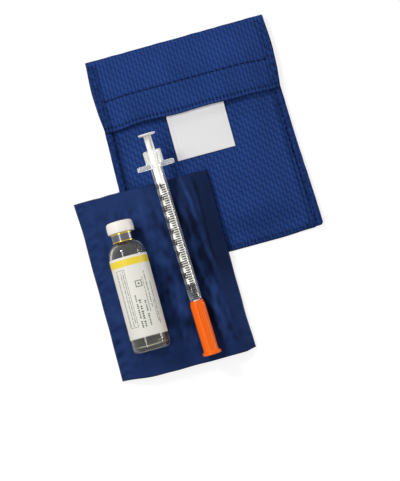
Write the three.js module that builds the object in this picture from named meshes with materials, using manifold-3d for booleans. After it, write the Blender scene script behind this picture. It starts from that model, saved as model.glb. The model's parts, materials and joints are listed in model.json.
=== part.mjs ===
// An insulin cooling case laid out on a table: a fabric cover with a fold-over flap, the cooling
// pouch that goes inside it, and the vial and the syringe that it keeps cool, lying on the pouch.
// Millimetres, +Z up. The origin is the middle of the cover's back face, where it rests on the
// table. +X runs across the cover to the right, and +Y runs up to the fold of its flap.
import * as THREE from "three";
import { mergeVertices } from "three/addons/utils/BufferGeometryUtils.js";
import Module from "manifold-3d";

const wasm = await Module();
wasm.setup();

// Cover
const coverLength = 117.8;
const coverWidthAtMouth = 95.6;
const coverWidthAtBottom = 99.8;
const coverFabric = 0.9;
const layerGap = 0.2;
const pocketDepth = 4.7;
const mouthDrop = 19.8;
const bottomCornerCut = 3.2;
const bindingWidth = 4.6;
const bindingThickness = 0.5;
const bindingRaiseRun = 5;
const crownSideRun = 13;
const crownBottomMargin = 4.9;
const crownBottomRun = 14;

// Flap and its closure
const flapDepth = 41.5;
const flapWidthAtFold = 97.6;
const flapWidthAtEdge = 95.8;
const flapSideBulge = 1.2;
const foldReach = 2.6;
const stripThickness = 0.7;
const stripWidth = 60;
const stripDepth = 16;
const stripEdgeMargin = 3.4;

// Woven label under the flap's edge
const labelWidth = 31.2;
const labelOffset = 0.8;
const labelLength = 26.7;
const labelTuck = 2.5;
const labelThickness = 0.35;
const labelRiseRun = 6.5;

// Cooling pouch
const pouchWidth = 71.7;
const pouchLength = 96.4;
const pouchCentreX = -37.35;
const pouchCentreY = -63;
const pouchFabric = 0.4;
const pouchGap = 0.15;
const pouchPocketDepth = 4.3;
const pouchEndRun = 25;
const pouchSideRun = 9;
const pouchSeam = 3;
const channelCount = 4;
const crystalDepth = 0.8;
const crystalEndMargin = 5.7;
const crystalMouthMargin = 8.2;
const mouthHem = 3.7;
const coverStepHeight = 3.7;
const coverStepRun = 7.4;
const coverStepMargin = 0.5;
const coverRestGap = 0.4;

// Vial
const vialRadius = 9.7;
const vialLength = 68.5;
const vialX = -53;
const vialBaseY = -98.8;
const vialWall = 1;
const vialHeel = 1.2;
const vialShoulderStart = 50.8;
const vialShoulderEnd = 56.2;
const vialNeckRadius = 5.3;
const vialRimRadius = 6.2;
const vialRimStart = 58.2;
const vialRimEnd = 62.4;
const vialBoreRadius = 3.6;
const vialFit = 0.2;
const vialSeatGap = 0.4;
const vialLabelStart = 7.4;
const vialLabelEnd = 49.5;
const vialLabelThickness = 0.15;
const stopperFlange = 1.6;
const stopperPlug = 4.6;
const crimpWall = 0.25;
const crimpRoll = 0.6;
const crimpHole = 2.6;
const flipCapRadius = 7.4;
const flipCapStart = 62.3;
const flipCapRoof = 3.2;
const flipCapChamfer = 0.8;

// Syringe, with every place along it measured from the top of its thumb rest
const syringeX = -27.2;
const syringeTopY = 9.4;
const syringeYaw = 1.54;
const syringeRestGap = 0.25;
const thumbRestRadius = 4.6;
const thumbRestThickness = 1.3;
const rodWidth = 3.9;
const rodRib = 0.9;
const rodEnd = 81;
const rodDiscThickness = 0.8;
const rodDiscRadius = 1.95;
const stopperLength = 6.5;
const stopperRadius = 2.1;
const stopperGroove = 0.45;
const stopperGap = 0.3;
const barrelRadius = 3.2;
const barrelBore = 2.3;
const barrelEnd = 89.4;
const barrelFrontWall = 1.2;
const collarRadius = 4.7;
const collarBore = 3.3;
const collarStart = 9.1;
const flangeStart = 15.9;
const flangeThickness = 2.5;
const flangeSpan = 19.6;
const flangeDepth = 9.4;
const hubRadius = 2.5;
const hubTipRadius = 0.9;
const hubLength = 5.4;
const needleRadius = 0.2;
const needleLength = 12.7;
const needleSunk = 1;
const needleCapStart = 89.9;
const needleCapEnd = 118.8;
const needleCapRadius = 3.5;
const needleCapEndRadius = 3.9;
const needleCapWall = 0.75;
const needleCapFlare = 4.95;
const needleCapFlareLength = 1.2;
const needleCapRibCount = 8;
const needleCapRibWidth = 0.8;
const needleCapRibHeight = 0.45;
const needleCapRibMargin = 1.6;
const partFit = 0.3;

// Steps round the turned pieces
const vialSides = 24;
const syringeSides = 18;
const needleSides = 8;

// Places worked out from the sizes above
const coverTop = coverLength / 2;
const coverBottom = -coverTop;
const mouthY = coverTop - mouthDrop;
const foldRootY = coverTop - foldReach;
const flapEdgeY = coverTop - flapDepth;
const bindingInnerX = coverWidthAtMouth / 2 - bindingWidth;
const bindingRaise = bindingThickness + layerGap;
const pouchLeft = pouchCentreX - pouchWidth / 2;
const pouchRight = pouchCentreX + pouchWidth / 2;
const pouchTopY = pouchCentreY + pouchLength / 2;
const pouchMouthY = pouchCentreY - pouchLength / 2;

const stepShares = [0, 0.25, 0.5, 0.75, 1];
const endStepShares = [0, 0.34, 0.67, 1];
const halfStepShares = [0, 0.5, 1];
const channelShares = [0, 0.2, 0.4, 0.6, 0.8];
const pouchEndShare = 0.6;
const stitchRoomShare = 0.35;
const quarterRoomShare = 0.72;

// Materials
const finish = (color, roughness, metalness = 0) => new THREE.MeshStandardMaterial({ color, roughness, metalness });
const coverCloth = finish(0x24407a, 0.85);
const hookTape = finish(0x1c2f5a, 0.95);
const pouchCloth = finish(0x1e3057, 0.7);
const crystals = finish(0xe9e6da, 0.6);
const wovenWhite = finish(0xe6e4e0, 0.9);
const clearGlass = finish(0xc9d2d0, 0.08);
const clearPlastic = finish(0xeeece6, 0.3);
const greyRubber = finish(0x2c2a2d, 0.7);
const goldFoil = finish(0xb9a56a, 0.3, 0.9);
const whitePlastic = finish(0xdcd6cc, 0.4);
const labelPaper = finish(0xd8d2c4, 0.6);
const liquid = finish(0xe8ecec, 0.1);
const orangePlastic = finish(0xf0742a, 0.35);
const needleSteel = finish(0xb8b8b8, 0.25, 1);

// Rises smoothly from 0 to 1 while a value goes from a start over a run.
function rise(value, start, run) {
  const share = Math.min(Math.max((value - start) / run, 0), 1);
  return share * share * (3 - 2 * share);
}

// Sorted places without doubles.
function places(...values) {
  const sorted = values.flat().sort((a, b) => a - b);
  return sorted.filter((value, i) => i === 0 || value - sorted[i - 1] > layerGap);
}

function mirrored(values) {
  return places(values, values.map((value) => -value));
}

function steps(start, run, shares = stepShares) {
  return shares.map((share) => start + run * share);
}

// A closed solid from a grid of places, with a low surface (side 0) and a high one (side 1).
function slab(columns, rows, place) {
  const positions = [];
  const faces = [];
  for (let side = 0; side < 2; side++)
    for (let j = 0; j < rows; j++)
      for (let i = 0; i < columns; i++) positions.push(...place(i, j, side));
  const at = (i, j, side) => side * rows * columns + j * columns + i;
  const quad = (a, b, c, d) => faces.push(a, b, c, a, c, d);
  for (let j = 0; j + 1 < rows; j++)
    for (let i = 0; i + 1 < columns; i++) {
      quad(at(i, j, 1), at(i + 1, j, 1), at(i + 1, j + 1, 1), at(i, j + 1, 1));
      quad(at(i, j, 0), at(i, j + 1, 0), at(i + 1, j + 1, 0), at(i + 1, j, 0));
    }
  for (let i = 0; i + 1 < columns; i++) {
    quad(at(i, 0, 0), at(i + 1, 0, 0), at(i + 1, 0, 1), at(i, 0, 1));
    quad(at(i + 1, rows - 1, 0), at(i, rows - 1, 0), at(i, rows - 1, 1), at(i + 1, rows - 1, 1));
  }
  for (let j = 0; j + 1 < rows; j++) {
    quad(at(0, j + 1, 0), at(0, j, 0), at(0, j, 1), at(0, j + 1, 1));
    quad(at(columns - 1, j, 0), at(columns - 1, j + 1, 0), at(columns - 1, j + 1, 1), at(columns - 1, j, 1));
  }
  const geometry = new THREE.BufferGeometry();
  geometry.setAttribute("position", new THREE.Float32BufferAttribute(positions, 3));
  geometry.setIndex(faces);
  geometry.computeVertexNormals();
  return geometry;
}

// A sheet of cloth over columns xs and rows ys, between the heights low and high.
// outline moves a column's place, for sides that are not straight.
function sheet(xs, ys, low, high, outline = (x) => x) {
  return slab(xs.length, ys.length, (i, j, side) => {
    const height = side ? high(xs[i], ys[j]) : low(xs[i], ys[j]);
    return [outline(xs[i], ys[j]), ys[j], height];
  });
}

// A turned piece about Y from [radius, place] pairs, going up its outside.
function turned(profile, sides) {
  const points = profile.map(([radius, place]) => new THREE.Vector2(radius, place));
  return new THREE.LatheGeometry(points, sides);
}

// A ring about Y: the profile is closed on itself.
function turnedRing(profile, sides) {
  return turned([...profile, profile[0]], sides);
}

function toSolid(geometry) {
  const bare = geometry.clone();
  bare.deleteAttribute("normal");
  bare.deleteAttribute("uv");
  const merged = mergeVertices(bare);
  const mesh = { numProp: 3, vertProperties: merged.attributes.position.array, triVerts: merged.index.array };
  return new wasm.Manifold(new wasm.Mesh(mesh));
}

function toGeometry(solid) {
  const mesh = solid.getMesh();
  const geometry = new THREE.BufferGeometry();
  geometry.setAttribute("position", new THREE.Float32BufferAttribute(mesh.vertProperties, 3));
  geometry.setIndex(Array.from(mesh.triVerts));
  geometry.computeVertexNormals();
  return geometry;
}

function piece(name, geometry, material) {
  const mesh = new THREE.Mesh(geometry, material);
  mesh.name = name;
  return mesh;
}

// The cover's crown: 1 where the pocket stands open, 0 at its seams and at the fold.
const crownSideX = bindingInnerX - crownSideRun;
const crownBottomY = coverBottom + crownBottomMargin;

function crown(x, y) {
  const across = 1 - rise(Math.abs(x), crownSideX, crownSideRun);
  const along = rise(y, crownBottomY, crownBottomRun) * (1 - rise(y, mouthY, foldRootY - mouthY));
  return across * along;
}

// The side bindings pass under the back panel and lift its edges.
function bindingLift(x, y) {
  const across = rise(Math.abs(x), bindingInnerX - bindingRaiseRun - layerGap, bindingRaiseRun);
  return bindingRaise * across * (1 - rise(y, mouthY + layerGap, bindingRaiseRun));
}

const backHigh = (x, y) => bindingLift(x, y) + coverFabric;
const frontLow = (x, y) => backHigh(x, y) + layerGap + pocketDepth * crown(x, y);
const frontHigh = (x, y) => frontLow(x, y) + coverFabric;
const bindingTop = bindingRaise + 2 * coverFabric + 2 * layerGap + bindingThickness;
const closureHeight = 2 * (stripThickness + layerGap) + layerGap;
const flapEdgeHeight = bindingTop + layerGap;
const flapCrownHeight = 2 * coverFabric + layerGap + pocketDepth + closureHeight;
const flapLow = (x, y) => flapEdgeHeight + (flapCrownHeight - flapEdgeHeight) * crown(x, y);
const flapHigh = (x, y) => flapLow(x, y) + coverFabric;

const crownColumns = mirrored(steps(crownSideX, crownSideRun));
const liftColumns = mirrored([bindingInnerX - bindingRaiseRun - layerGap, bindingInnerX - layerGap]);
const edgeColumns = mirrored([coverWidthAtMouth / 2]);
const crownRows = steps(crownBottomY, crownBottomRun, endStepShares);
const foldRows = steps(mouthY, foldRootY - mouthY, stepShares);
const liftRows = [mouthY + layerGap, mouthY + layerGap + bindingRaiseRun];

// The cover's sides spread towards the bottom, where the corners are cut off.
function coverOutline(inset) {
  return (x, y) => {
    if (Math.abs(x) < coverWidthAtMouth / 2) return x;
    const spread = (coverWidthAtBottom - coverWidthAtMouth) / 2;
    const below = Math.min(Math.max((mouthY - y) / (mouthY - coverBottom), 0), 1);
    const cut = y <= coverBottom ? bottomCornerCut : 0;
    return Math.sign(x) * (coverWidthAtMouth / 2 + spread * below - cut - inset);
  };
}

function makeCover() {
  const cover = new THREE.Group();
  const inset = bindingThickness + layerGap;
  const columns = places(crownColumns, liftColumns, edgeColumns);

  const backColumns = places(liftColumns, edgeColumns);
  const backRows = places(coverBottom, crownBottomY, mouthY, liftRows, foldRootY);
  const back = sheet(backColumns, backRows, bindingLift, backHigh, coverOutline(inset));
  cover.add(piece("cover_back_panel", back, coverCloth));

  const frontRows = places(coverBottom, crownRows, mouthY);
  const front = sheet(columns, frontRows, frontLow, frontHigh, coverOutline(inset));
  cover.add(piece("cover_front_panel", front, coverCloth));

  for (const [name, side] of [["left", -1], ["right", 1]])
    cover.add(piece("cover_side_binding_" + name, bindingGeometry(side), coverCloth));

  const stripTop = mouthY - layerGap - stripEdgeMargin / 2;
  const loopHigh = (x, y) => frontHigh(x, y) + layerGap + stripThickness;
  const stripColumns = [-stripWidth / 2, stripWidth / 2];
  const stripRows = [stripTop - stripDepth, stripTop];
  const loop = sheet(stripColumns, stripRows, (x, y) => frontHigh(x, y) + layerGap, loopHigh);
  cover.add(piece("closure_loop_strip", loop, hookTape));
  return cover;
}

// A tape folded round both panels' edge, from the pocket's mouth to the bottom corner.
function bindingGeometry(side) {
  const outer = coverOutline(0);
  const section = [
    [bindingWidth, 0],
    [0, 0],
    [0, bindingTop],
    [bindingWidth, bindingTop],
    [bindingWidth, bindingTop - bindingThickness],
    [bindingThickness, bindingTop - bindingThickness],
    [bindingThickness, bindingThickness],
    [bindingWidth, bindingThickness],
  ];
  const shape = new THREE.Shape(section.map(([inward, height]) => new THREE.Vector2(inward, height)));
  const length = mouthY - coverBottom - crownBottomMargin;
  const geometry = new THREE.ExtrudeGeometry(shape, { depth: length, bevelEnabled: false });
  const corners = geometry.attributes.position;
  for (let i = 0; i < corners.count; i++) {
    const y = mouthY - corners.getZ(i);
    const inward = corners.getX(i);
    corners.setXYZ(i, outer(side * coverWidthAtMouth, y) - side * inward, y, corners.getY(i));
  }
  return side < 0 ? geometry : flipped(geometry);
}

// Turns the faces of a mirrored geometry to point out again.
function flipped(geometry) {
  const loose = geometry.index ? geometry.toNonIndexed() : geometry;
  const corners = loose.attributes.position;
  for (let i = 0; i < corners.count; i += 3) {
    const second = [corners.getX(i + 1), corners.getY(i + 1), corners.getZ(i + 1)];
    corners.setXYZ(i + 1, corners.getX(i + 2), corners.getY(i + 2), corners.getZ(i + 2));
    corners.setXYZ(i + 2, ...second);
  }
  return loose;
}

function flapOutline(x, y) {
  if (Math.abs(x) < coverWidthAtMouth / 2) return x;
  const share = (foldRootY - y) / (foldRootY - flapEdgeY);
  const narrowing = ((flapWidthAtFold - flapWidthAtEdge) / 2) * share;
  const bulge = flapSideBulge * Math.sin(Math.PI * share);
  return Math.sign(x) * (flapWidthAtFold / 2 - narrowing + bulge);
}

function makeFlap() {
  const flap = new THREE.Group();
  const columns = places(crownColumns, edgeColumns);
  const rows = places(flapEdgeY, (flapEdgeY + mouthY) / 2, foldRows);
  const panelRows = rows.map((y) => (y === Math.max(...rows) ? foldRootY : y));
  flap.add(piece("flap_panel", sheet(columns, panelRows, flapLow, flapHigh, flapOutline), coverCloth));

  const stripTop = mouthY - layerGap - stripEdgeMargin / 2;
  const hookHigh = (x, y) => flapLow(x, y) - layerGap;
  const hookLow = (x, y) => hookHigh(x, y) - stripThickness;
  const hook = sheet([-stripWidth / 2, stripWidth / 2], [stripTop - stripDepth, stripTop], hookLow, hookHigh);
  flap.add(piece("closure_hook_strip", hook, hookTape));
  flap.add(piece("woven_label", labelGeometry(), wovenWhite));
  return flap;
}

// The label hangs from under the flap's edge and lies down on the front panel.
function labelGeometry() {
  const top = flapEdgeY + labelTuck;
  const riseStart = flapEdgeY - labelRiseRun;
  const low = (x, y) => {
    const lying = frontHigh(x, y) + layerGap;
    const tucked = flapLow(x, y) - layerGap - labelThickness;
    return lying + (tucked - lying) * rise(y, riseStart, labelRiseRun);
  };
  const columns = [labelOffset - labelWidth / 2, labelOffset + labelWidth / 2];
  const rows = places(top - labelLength, steps(riseStart, labelRiseRun), top);
  return sheet(columns, rows, low, (x, y) => low(x, y) + labelThickness);
}

// Half an ellipse of cloth that joins the back panel to the flap, just past their ends.
function makeFold() {
  const foldHeight = flapEdgeHeight + coverFabric;
  const turns = 8;
  const columns = [-flapWidthAtFold / 2, 0, flapWidthAtFold / 2];
  const geometry = slab(columns.length, turns + 1, (i, j, side) => {
    const angle = Math.PI * (j / turns - 0.5);
    const inward = side ? coverFabric : 0;
    const reach = (foldReach - layerGap - inward) * Math.cos(angle);
    const height = foldHeight / 2 + (foldHeight / 2 - inward) * Math.sin(angle);
    return [columns[i], foldRootY + layerGap + reach, height];
  });
  return piece("flap_fold", geometry, coverCloth);
}

// Pouch: one grid of columns and rows serves all its layers, so they never cross.
const channelWidth = (pouchWidth - 2 * pouchSeam) / channelCount;
const channelStart = (channel) => pouchLeft + pouchSeam + channel * channelWidth;

function pouchColumns() {
  const columns = [pouchLeft, pouchRight - pouchSeam, pouchRight];
  for (let channel = 0; channel < channelCount; channel++)
    columns.push(...steps(channelStart(channel), channelWidth, channelShares));
  return places(columns);
}

const crystalTopY = pouchTopY - crystalEndMargin;
const crystalMouthY = pouchMouthY + crystalMouthMargin;
const coverStepX = -coverWidthAtBottom / 2 - coverStepMargin;
const coverStepY = coverBottom - coverStepMargin;

function pouchRows() {
  const endRows = [pouchTopY, crystalTopY, pouchTopY - pouchEndShare * pouchEndRun, pouchTopY - pouchEndRun];
  const stepRows = steps(coverStepY - coverStepRun, coverStepRun, halfStepShares);
  const mouthRows = [pouchMouthY, pouchMouthY + mouthHem, crystalMouthY];
  return places(endRows, crownRows.slice(0, -1), stepRows, mouthRows, (coverStepY - coverStepRun + crystalMouthY) / 2);
}

// What the pouch lies on: the cover, a soft step down at the cover's edges, then the table.
function pouchBase(x, y) {
  const across = rise(x, coverStepX - coverStepRun, coverStepRun);
  const along = rise(y, coverStepY - coverStepRun, coverStepRun);
  const crownRise = 2 * coverFabric + layerGap + pocketDepth + coverRestGap - coverStepHeight;
  return (coverStepHeight + crownRise * crown(x, y)) * across * along;
}

// 0 on a channel's stitch line and 1 in the channel.
function channelFill(x) {
  const inChannels = (x - pouchLeft - pouchSeam) / channelWidth;
  if (inChannels < 0 || inChannels > channelCount) return stitchRoomShare;
  const share = inChannels - Math.floor(inChannels);
  const fromStitch = Math.min(share, 1 - share);
  const nearShare = channelShares[1];
  if (fromStitch < nearShare)
    return stitchRoomShare + (quarterRoomShare - stitchRoomShare) * (fromStitch / nearShare);
  return quarterRoomShare + (1 - quarterRoomShare) * Math.min((fromStitch - nearShare) / nearShare, 1);
}

function pouchEnvelope(x, y) {
  const across = rise(Math.min(x - pouchLeft, pouchRight - x), 0, pouchSeam);
  const topEnd = rise(pouchTopY - y, 0, crystalEndMargin);
  const mouthEnd = rise(y - pouchMouthY, mouthHem, crystalMouthMargin - mouthHem);
  return across * topEnd * mouthEnd;
}

// The eight heights of the pouch's four cloths, low and high, at a place.
function pouchLevels(x, y) {
  const fullRoom = crystalDepth + 2 * pouchGap;
  const envelope = pouchEnvelope(x, y);
  const room = pouchGap + (fullRoom - pouchGap) * envelope * channelFill(x);
  const flatRoom = pouchGap + (fullRoom - pouchGap) * envelope;
  const sideRise = rise(Math.min(x - pouchLeft, pouchRight - x), pouchSeam / 2, pouchSideRun);
  const pocket = pouchGap + (pouchPocketDepth - pouchGap) * sideRise * rise(pouchTopY - y, 0, pouchEndRun);
  const base = pouchBase(x, y);
  const backLining = base + pouchFabric + room;
  const plainFrontLining = base + 2 * pouchFabric + flatRoom + pocket;
  const top = plainFrontLining + 2 * pouchFabric + room;
  const sunk = Math.max(top - vialGroove(x), 0);
  const frontLining = plainFrontLining - sunk;
  return [
    base,
    base + pouchFabric,
    backLining,
    backLining + pouchFabric,
    frontLining,
    frontLining + pouchFabric,
    frontLining + pouchFabric + room,
    frontLining + 2 * pouchFabric + room,
  ];
}

// The vial lies level on the pouch's top and presses a groove where the cover lifts the pouch.
const pouchHeight = 4 * pouchFabric + 2 * (crystalDepth + 2 * pouchGap) + pouchPocketDepth;
const labelledRadius = vialRadius + vialFit / 2 + vialLabelThickness;
const vialAxisHeight = pouchHeight + vialSeatGap + labelledRadius;

function vialGroove(x) {
  const aside = Math.abs(x - vialX);
  if (aside >= labelledRadius) return Infinity;
  return vialAxisHeight - Math.sqrt(labelledRadius * labelledRadius - aside * aside) - vialSeatGap;
}

function makePouch() {
  const pouch = new THREE.Group();
  const columns = pouchColumns();
  const rows = pouchRows();
  const names = ["pouch_back_outer", "pouch_back_lining", "pouch_front_lining", "pouch_front_outer"];
  names.forEach((name, layer) => {
    const low = (x, y) => pouchLevels(x, y)[2 * layer];
    const high = (x, y) => pouchLevels(x, y)[2 * layer + 1];
    pouch.add(piece(name, sheet(columns, rows, low, high), pouchCloth));
  });
  for (const [name, layer] of [["back", 0], ["front", 2]])
    for (let channel = 0; channel < channelCount; channel++)
      pouch.add(piece("crystal_fill_" + name + "_" + (channel + 1), crystalGeometry(layer, channel), crystals));
  return pouch;
}

// The bed of cooling crystals in one channel, between an outer cloth and its lining.
function crystalGeometry(layer, channel) {
  const columns = steps(channelStart(channel), channelWidth, channelShares.slice(1));
  const rows = pouchRows().filter((y) => y <= crystalTopY && y >= crystalMouthY);
  const low = (x, y) => pouchLevels(x, y)[2 * layer + 1] + pouchGap;
  const high = (x, y) => pouchLevels(x, y)[2 * layer + 2] - pouchGap;
  return sheet(columns, rows, low, high);
}

// Vial: turned pieces along Y, with places measured from its base.
function makeVial() {
  const vial = new THREE.Group();
  vial.position.set(vialX, vialBaseY, vialAxisHeight);
  const inner = vialRadius - vialWall;
  const glass = turnedRing(
    [
      [vialBoreRadius, vialShoulderEnd],
      [inner, vialShoulderStart],
      [inner, vialWall + vialHeel],
      [inner - vialHeel, vialWall],
      [0, vialWall],
      [0, 0],
      [vialRadius - vialHeel, 0],
      [vialRadius, vialHeel],
      [vialRadius, vialShoulderStart],
      [vialRadius - vialHeel, vialShoulderStart + vialHeel],
      [vialNeckRadius + vialHeel, vialShoulderEnd - vialHeel],
      [vialNeckRadius, vialShoulderEnd],
      [vialNeckRadius, vialRimStart],
      [vialRimRadius, vialRimStart + vialFit],
      [vialRimRadius, vialRimEnd],
      [vialBoreRadius, vialRimEnd],
    ],
    vialSides,
  );
  vial.add(piece("vial_glass", glass, clearGlass));

  const liquidRadius = inner - vialFit;
  const fill = turned(
    [
      [0, vialWall + vialFit],
      [liquidRadius - vialHeel, vialWall + vialFit],
      [liquidRadius, vialWall + vialFit + vialHeel],
      [liquidRadius, vialShoulderStart - vialFit],
      [vialBoreRadius - vialFit, vialShoulderEnd - vialHeel],
      [0, vialShoulderEnd - vialHeel],
    ],
    vialSides,
  );
  vial.add(piece("insulin_fill", fill, liquid));

  const labelOuter = labelledRadius;
  const labelInner = labelOuter - vialLabelThickness;
  const label = turnedRing(
    [
      [labelInner, vialLabelStart],
      [labelOuter, vialLabelStart],
      [labelOuter, vialLabelEnd],
      [labelInner, vialLabelEnd],
    ],
    vialSides,
  );
  vial.add(piece("vial_label", label, labelPaper));

  const flangeLow = vialRimEnd + vialFit;
  const flangeHigh = flangeLow + stopperFlange;
  const plugRadius = vialBoreRadius - vialFit;
  const stopper = turned(
    [
      [0, flangeLow - stopperPlug],
      [plugRadius, flangeLow - stopperPlug],
      [plugRadius, flangeLow],
      [vialRimRadius, flangeLow],
      [vialRimRadius, flangeHigh],
      [0, flangeHigh],
    ],
    vialSides,
  );
  vial.add(piece("vial_stopper", stopper, greyRubber));

  const crimpInner = vialRimRadius + vialFit;
  const crimpOuter = crimpInner + crimpWall;
  const crimpTop = flangeHigh + vialFit + crimpWall;
  const crimpLow = vialRimStart - vialFit - crimpRoll;
  const crimp = turnedRing(
    [
      [vialNeckRadius + vialFit, crimpLow],
      [crimpOuter, crimpLow],
      [crimpOuter, crimpTop],
      [crimpHole, crimpTop],
      [crimpHole, crimpTop - crimpWall],
      [crimpInner, crimpTop - crimpWall],
      [crimpInner, crimpLow + crimpRoll],
      [vialNeckRadius + vialFit, crimpLow + crimpRoll],
    ],
    vialSides,
  );
  vial.add(piece("vial_crimp_collar", crimp, goldFoil));

  const roofLow = vialLength - flipCapRoof;
  const recess = crimpOuter + vialFit;
  const cap = turned(
    [
      [0, roofLow],
      [recess, roofLow],
      [recess, flipCapStart],
      [flipCapRadius, flipCapStart],
      [flipCapRadius, vialLength - flipCapChamfer],
      [flipCapRadius - flipCapChamfer, vialLength],
      [0, vialLength],
    ],
    vialSides,
  );
  vial.add(piece("vial_flip_cap", cap, whitePlastic));
  return vial;
}

// Syringe: turned pieces along its own Y, which runs from the needle to the thumb rest.
const along = (place) => -place;

function barrelGeometry() {
  const flangeEnd = flangeStart + flangeThickness;
  const body = turned(
    [
      [0, along(barrelEnd)],
      [barrelRadius, along(barrelEnd)],
      [barrelRadius, along(flangeEnd)],
      [collarRadius, along(flangeEnd)],
      [collarRadius, along(collarStart)],
      [0, along(collarStart)],
    ],
    syringeSides,
  );
  const bore = turned(
    [
      [0, along(barrelEnd - barrelFrontWall)],
      [barrelBore, along(barrelEnd - barrelFrontWall)],
      [barrelBore, along(flangeEnd)],
      [collarBore, along(flangeStart)],
      [collarBore, along(0)],
      [0, along(0)],
    ],
    syringeSides,
  );
  const wing = new THREE.Shape();
  const straight = (flangeSpan - flangeDepth) / 2;
  wing.absarc(straight, 0, flangeDepth / 2, -Math.PI / 2, Math.PI / 2);
  wing.absarc(-straight, 0, flangeDepth / 2, Math.PI / 2, (3 * Math.PI) / 2);
  const flange = new THREE.ExtrudeGeometry(wing, { depth: flangeThickness, bevelEnabled: false, curveSegments: 6 });
  flange.rotateX(Math.PI / 2);
  flange.translate(0, along(flangeStart), 0);
  return toGeometry(toSolid(body).add(toSolid(flange)).subtract(toSolid(bore)));
}

function rodGeometry() {
  const thumb = turned(
    [
      [0, along(thumbRestThickness)],
      [thumbRestRadius, along(thumbRestThickness)],
      [thumbRestRadius, along(0)],
      [0, along(0)],
    ],
    syringeSides,
  );
  const disc = turned(
    [
      [0, along(rodEnd)],
      [rodDiscRadius, along(rodEnd)],
      [rodDiscRadius, along(rodEnd - rodDiscThickness)],
      [0, along(rodEnd - rodDiscThickness)],
    ],
    syringeSides,
  );
  const bladeLength = rodEnd - thumbRestThickness / 2 - rodDiscThickness / 2;
  const bladeMiddle = along((rodEnd + thumbRestThickness / 2 - rodDiscThickness / 2) / 2);
  const flat = new THREE.BoxGeometry(rodWidth, bladeLength, rodRib).translate(0, bladeMiddle, 0);
  const upright = new THREE.BoxGeometry(rodRib, bladeLength, rodWidth).translate(0, bladeMiddle, 0);
  return toGeometry(toSolid(thumb).add(toSolid(disc)).add(toSolid(flat)).add(toSolid(upright)));
}

function stopperGeometry() {
  const start = rodEnd + stopperGap;
  const end = start + stopperLength;
  const ring = stopperLength / 4;
  return turned(
    [
      [0, along(end)],
      [stopperRadius, along(end - stopperGroove)],
      [stopperRadius, along(end - ring)],
      [stopperRadius - stopperGroove, along(end - ring - stopperGroove)],
      [stopperRadius - stopperGroove, along(start + ring + stopperGroove)],
      [stopperRadius, along(start + ring)],
      [stopperRadius, along(start)],
      [0, along(start)],
    ],
    syringeSides,
  );
}

const hubStart = barrelEnd + partFit;
const hubEnd = hubStart + hubLength;

function hubGeometry() {
  const hub = turned(
    [
      [0, along(hubEnd)],
      [hubTipRadius, along(hubEnd)],
      [hubRadius, along(hubStart + hubLength / 2)],
      [hubRadius, along(hubStart)],
      [0, along(hubStart)],
    ],
    syringeSides,
  );
  const socket = turned(
    [
      [0, along(hubEnd + partFit)],
      [needleRadius + partFit, along(hubEnd + partFit)],
      [needleRadius + partFit, along(hubEnd - needleSunk - partFit)],
      [0, along(hubEnd - needleSunk - partFit)],
    ],
    needleSides,
  );
  return toGeometry(toSolid(hub).subtract(toSolid(socket)));
}

function needleGeometry() {
  return turned(
    [
      [0, along(hubEnd + needleLength)],
      [needleRadius, along(hubEnd + needleLength - 2 * needleRadius)],
      [needleRadius, along(hubEnd - needleSunk)],
      [0, along(hubEnd - needleSunk)],
    ],
    needleSides,
  );
}

function needleCapGeometry() {
  const flareStart = needleCapEnd - needleCapFlareLength;
  const outside = turned(
    [
      [0, along(needleCapEnd)],
      [needleCapFlare, along(needleCapEnd)],
      [needleCapFlare, along(flareStart)],
      [needleCapEndRadius, along(flareStart)],
      [needleCapRadius, along(needleCapStart)],
      [0, along(needleCapStart)],
    ],
    syringeSides,
  );
  const ribSpan = flareStart - needleCapStart - needleCapRibMargin;
  const ribMiddle = along(needleCapStart + needleCapRibMargin + ribSpan / 2);
  const ribReach = (needleCapRadius + needleCapEndRadius) / 2 + needleCapRibHeight;
  let solid = toSolid(outside);
  for (let i = 0; i < needleCapRibCount; i++) {
    const rib = new THREE.BoxGeometry(needleCapRibWidth, ribSpan + needleCapFlareLength / 2, ribReach);
    rib.translate(0, ribMiddle - needleCapFlareLength / 4, ribReach / 2);
    rib.rotateY((2 * Math.PI * (i + 0.5)) / needleCapRibCount);
    solid = solid.add(toSolid(rib));
  }
  const cavity = turned(
    [
      [0, along(hubEnd + needleLength + 2 * needleCapWall)],
      [needleCapRadius - 2 * needleCapWall, along(hubEnd + needleLength + 2 * needleCapWall)],
      [needleCapRadius - needleCapWall, along(hubEnd)],
      [needleCapRadius - needleCapWall, along(0)],
      [0, along(0)],
    ],
    syringeSides,
  );
  return toGeometry(solid.subtract(toSolid(cavity)));
}

// How far the syringe reaches below its axis at a place along it.
function syringeReach(place) {
  if (place < thumbRestThickness) return thumbRestRadius;
  if (place < collarStart) return rodWidth / 2;
  if (place < flangeStart + flangeThickness) return flangeDepth / 2;
  if (place < needleCapStart) return barrelRadius;
  const share = (place - needleCapStart) / (needleCapEnd - needleCapStart);
  const side = needleCapRadius + (needleCapEndRadius - needleCapRadius) * share + needleCapRibHeight;
  return place > needleCapEnd - needleCapFlareLength ? needleCapFlare : side;
}

// What lies under the syringe: the pouch's top, or the cover's front past the pouch's end.
function supportHeight(x, y) {
  const onPouch = x > pouchLeft && x < pouchRight && y < pouchTopY && y > pouchMouthY;
  return onPouch ? pouchLevels(x, y)[7] : flapHigh(x, y);
}

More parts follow.
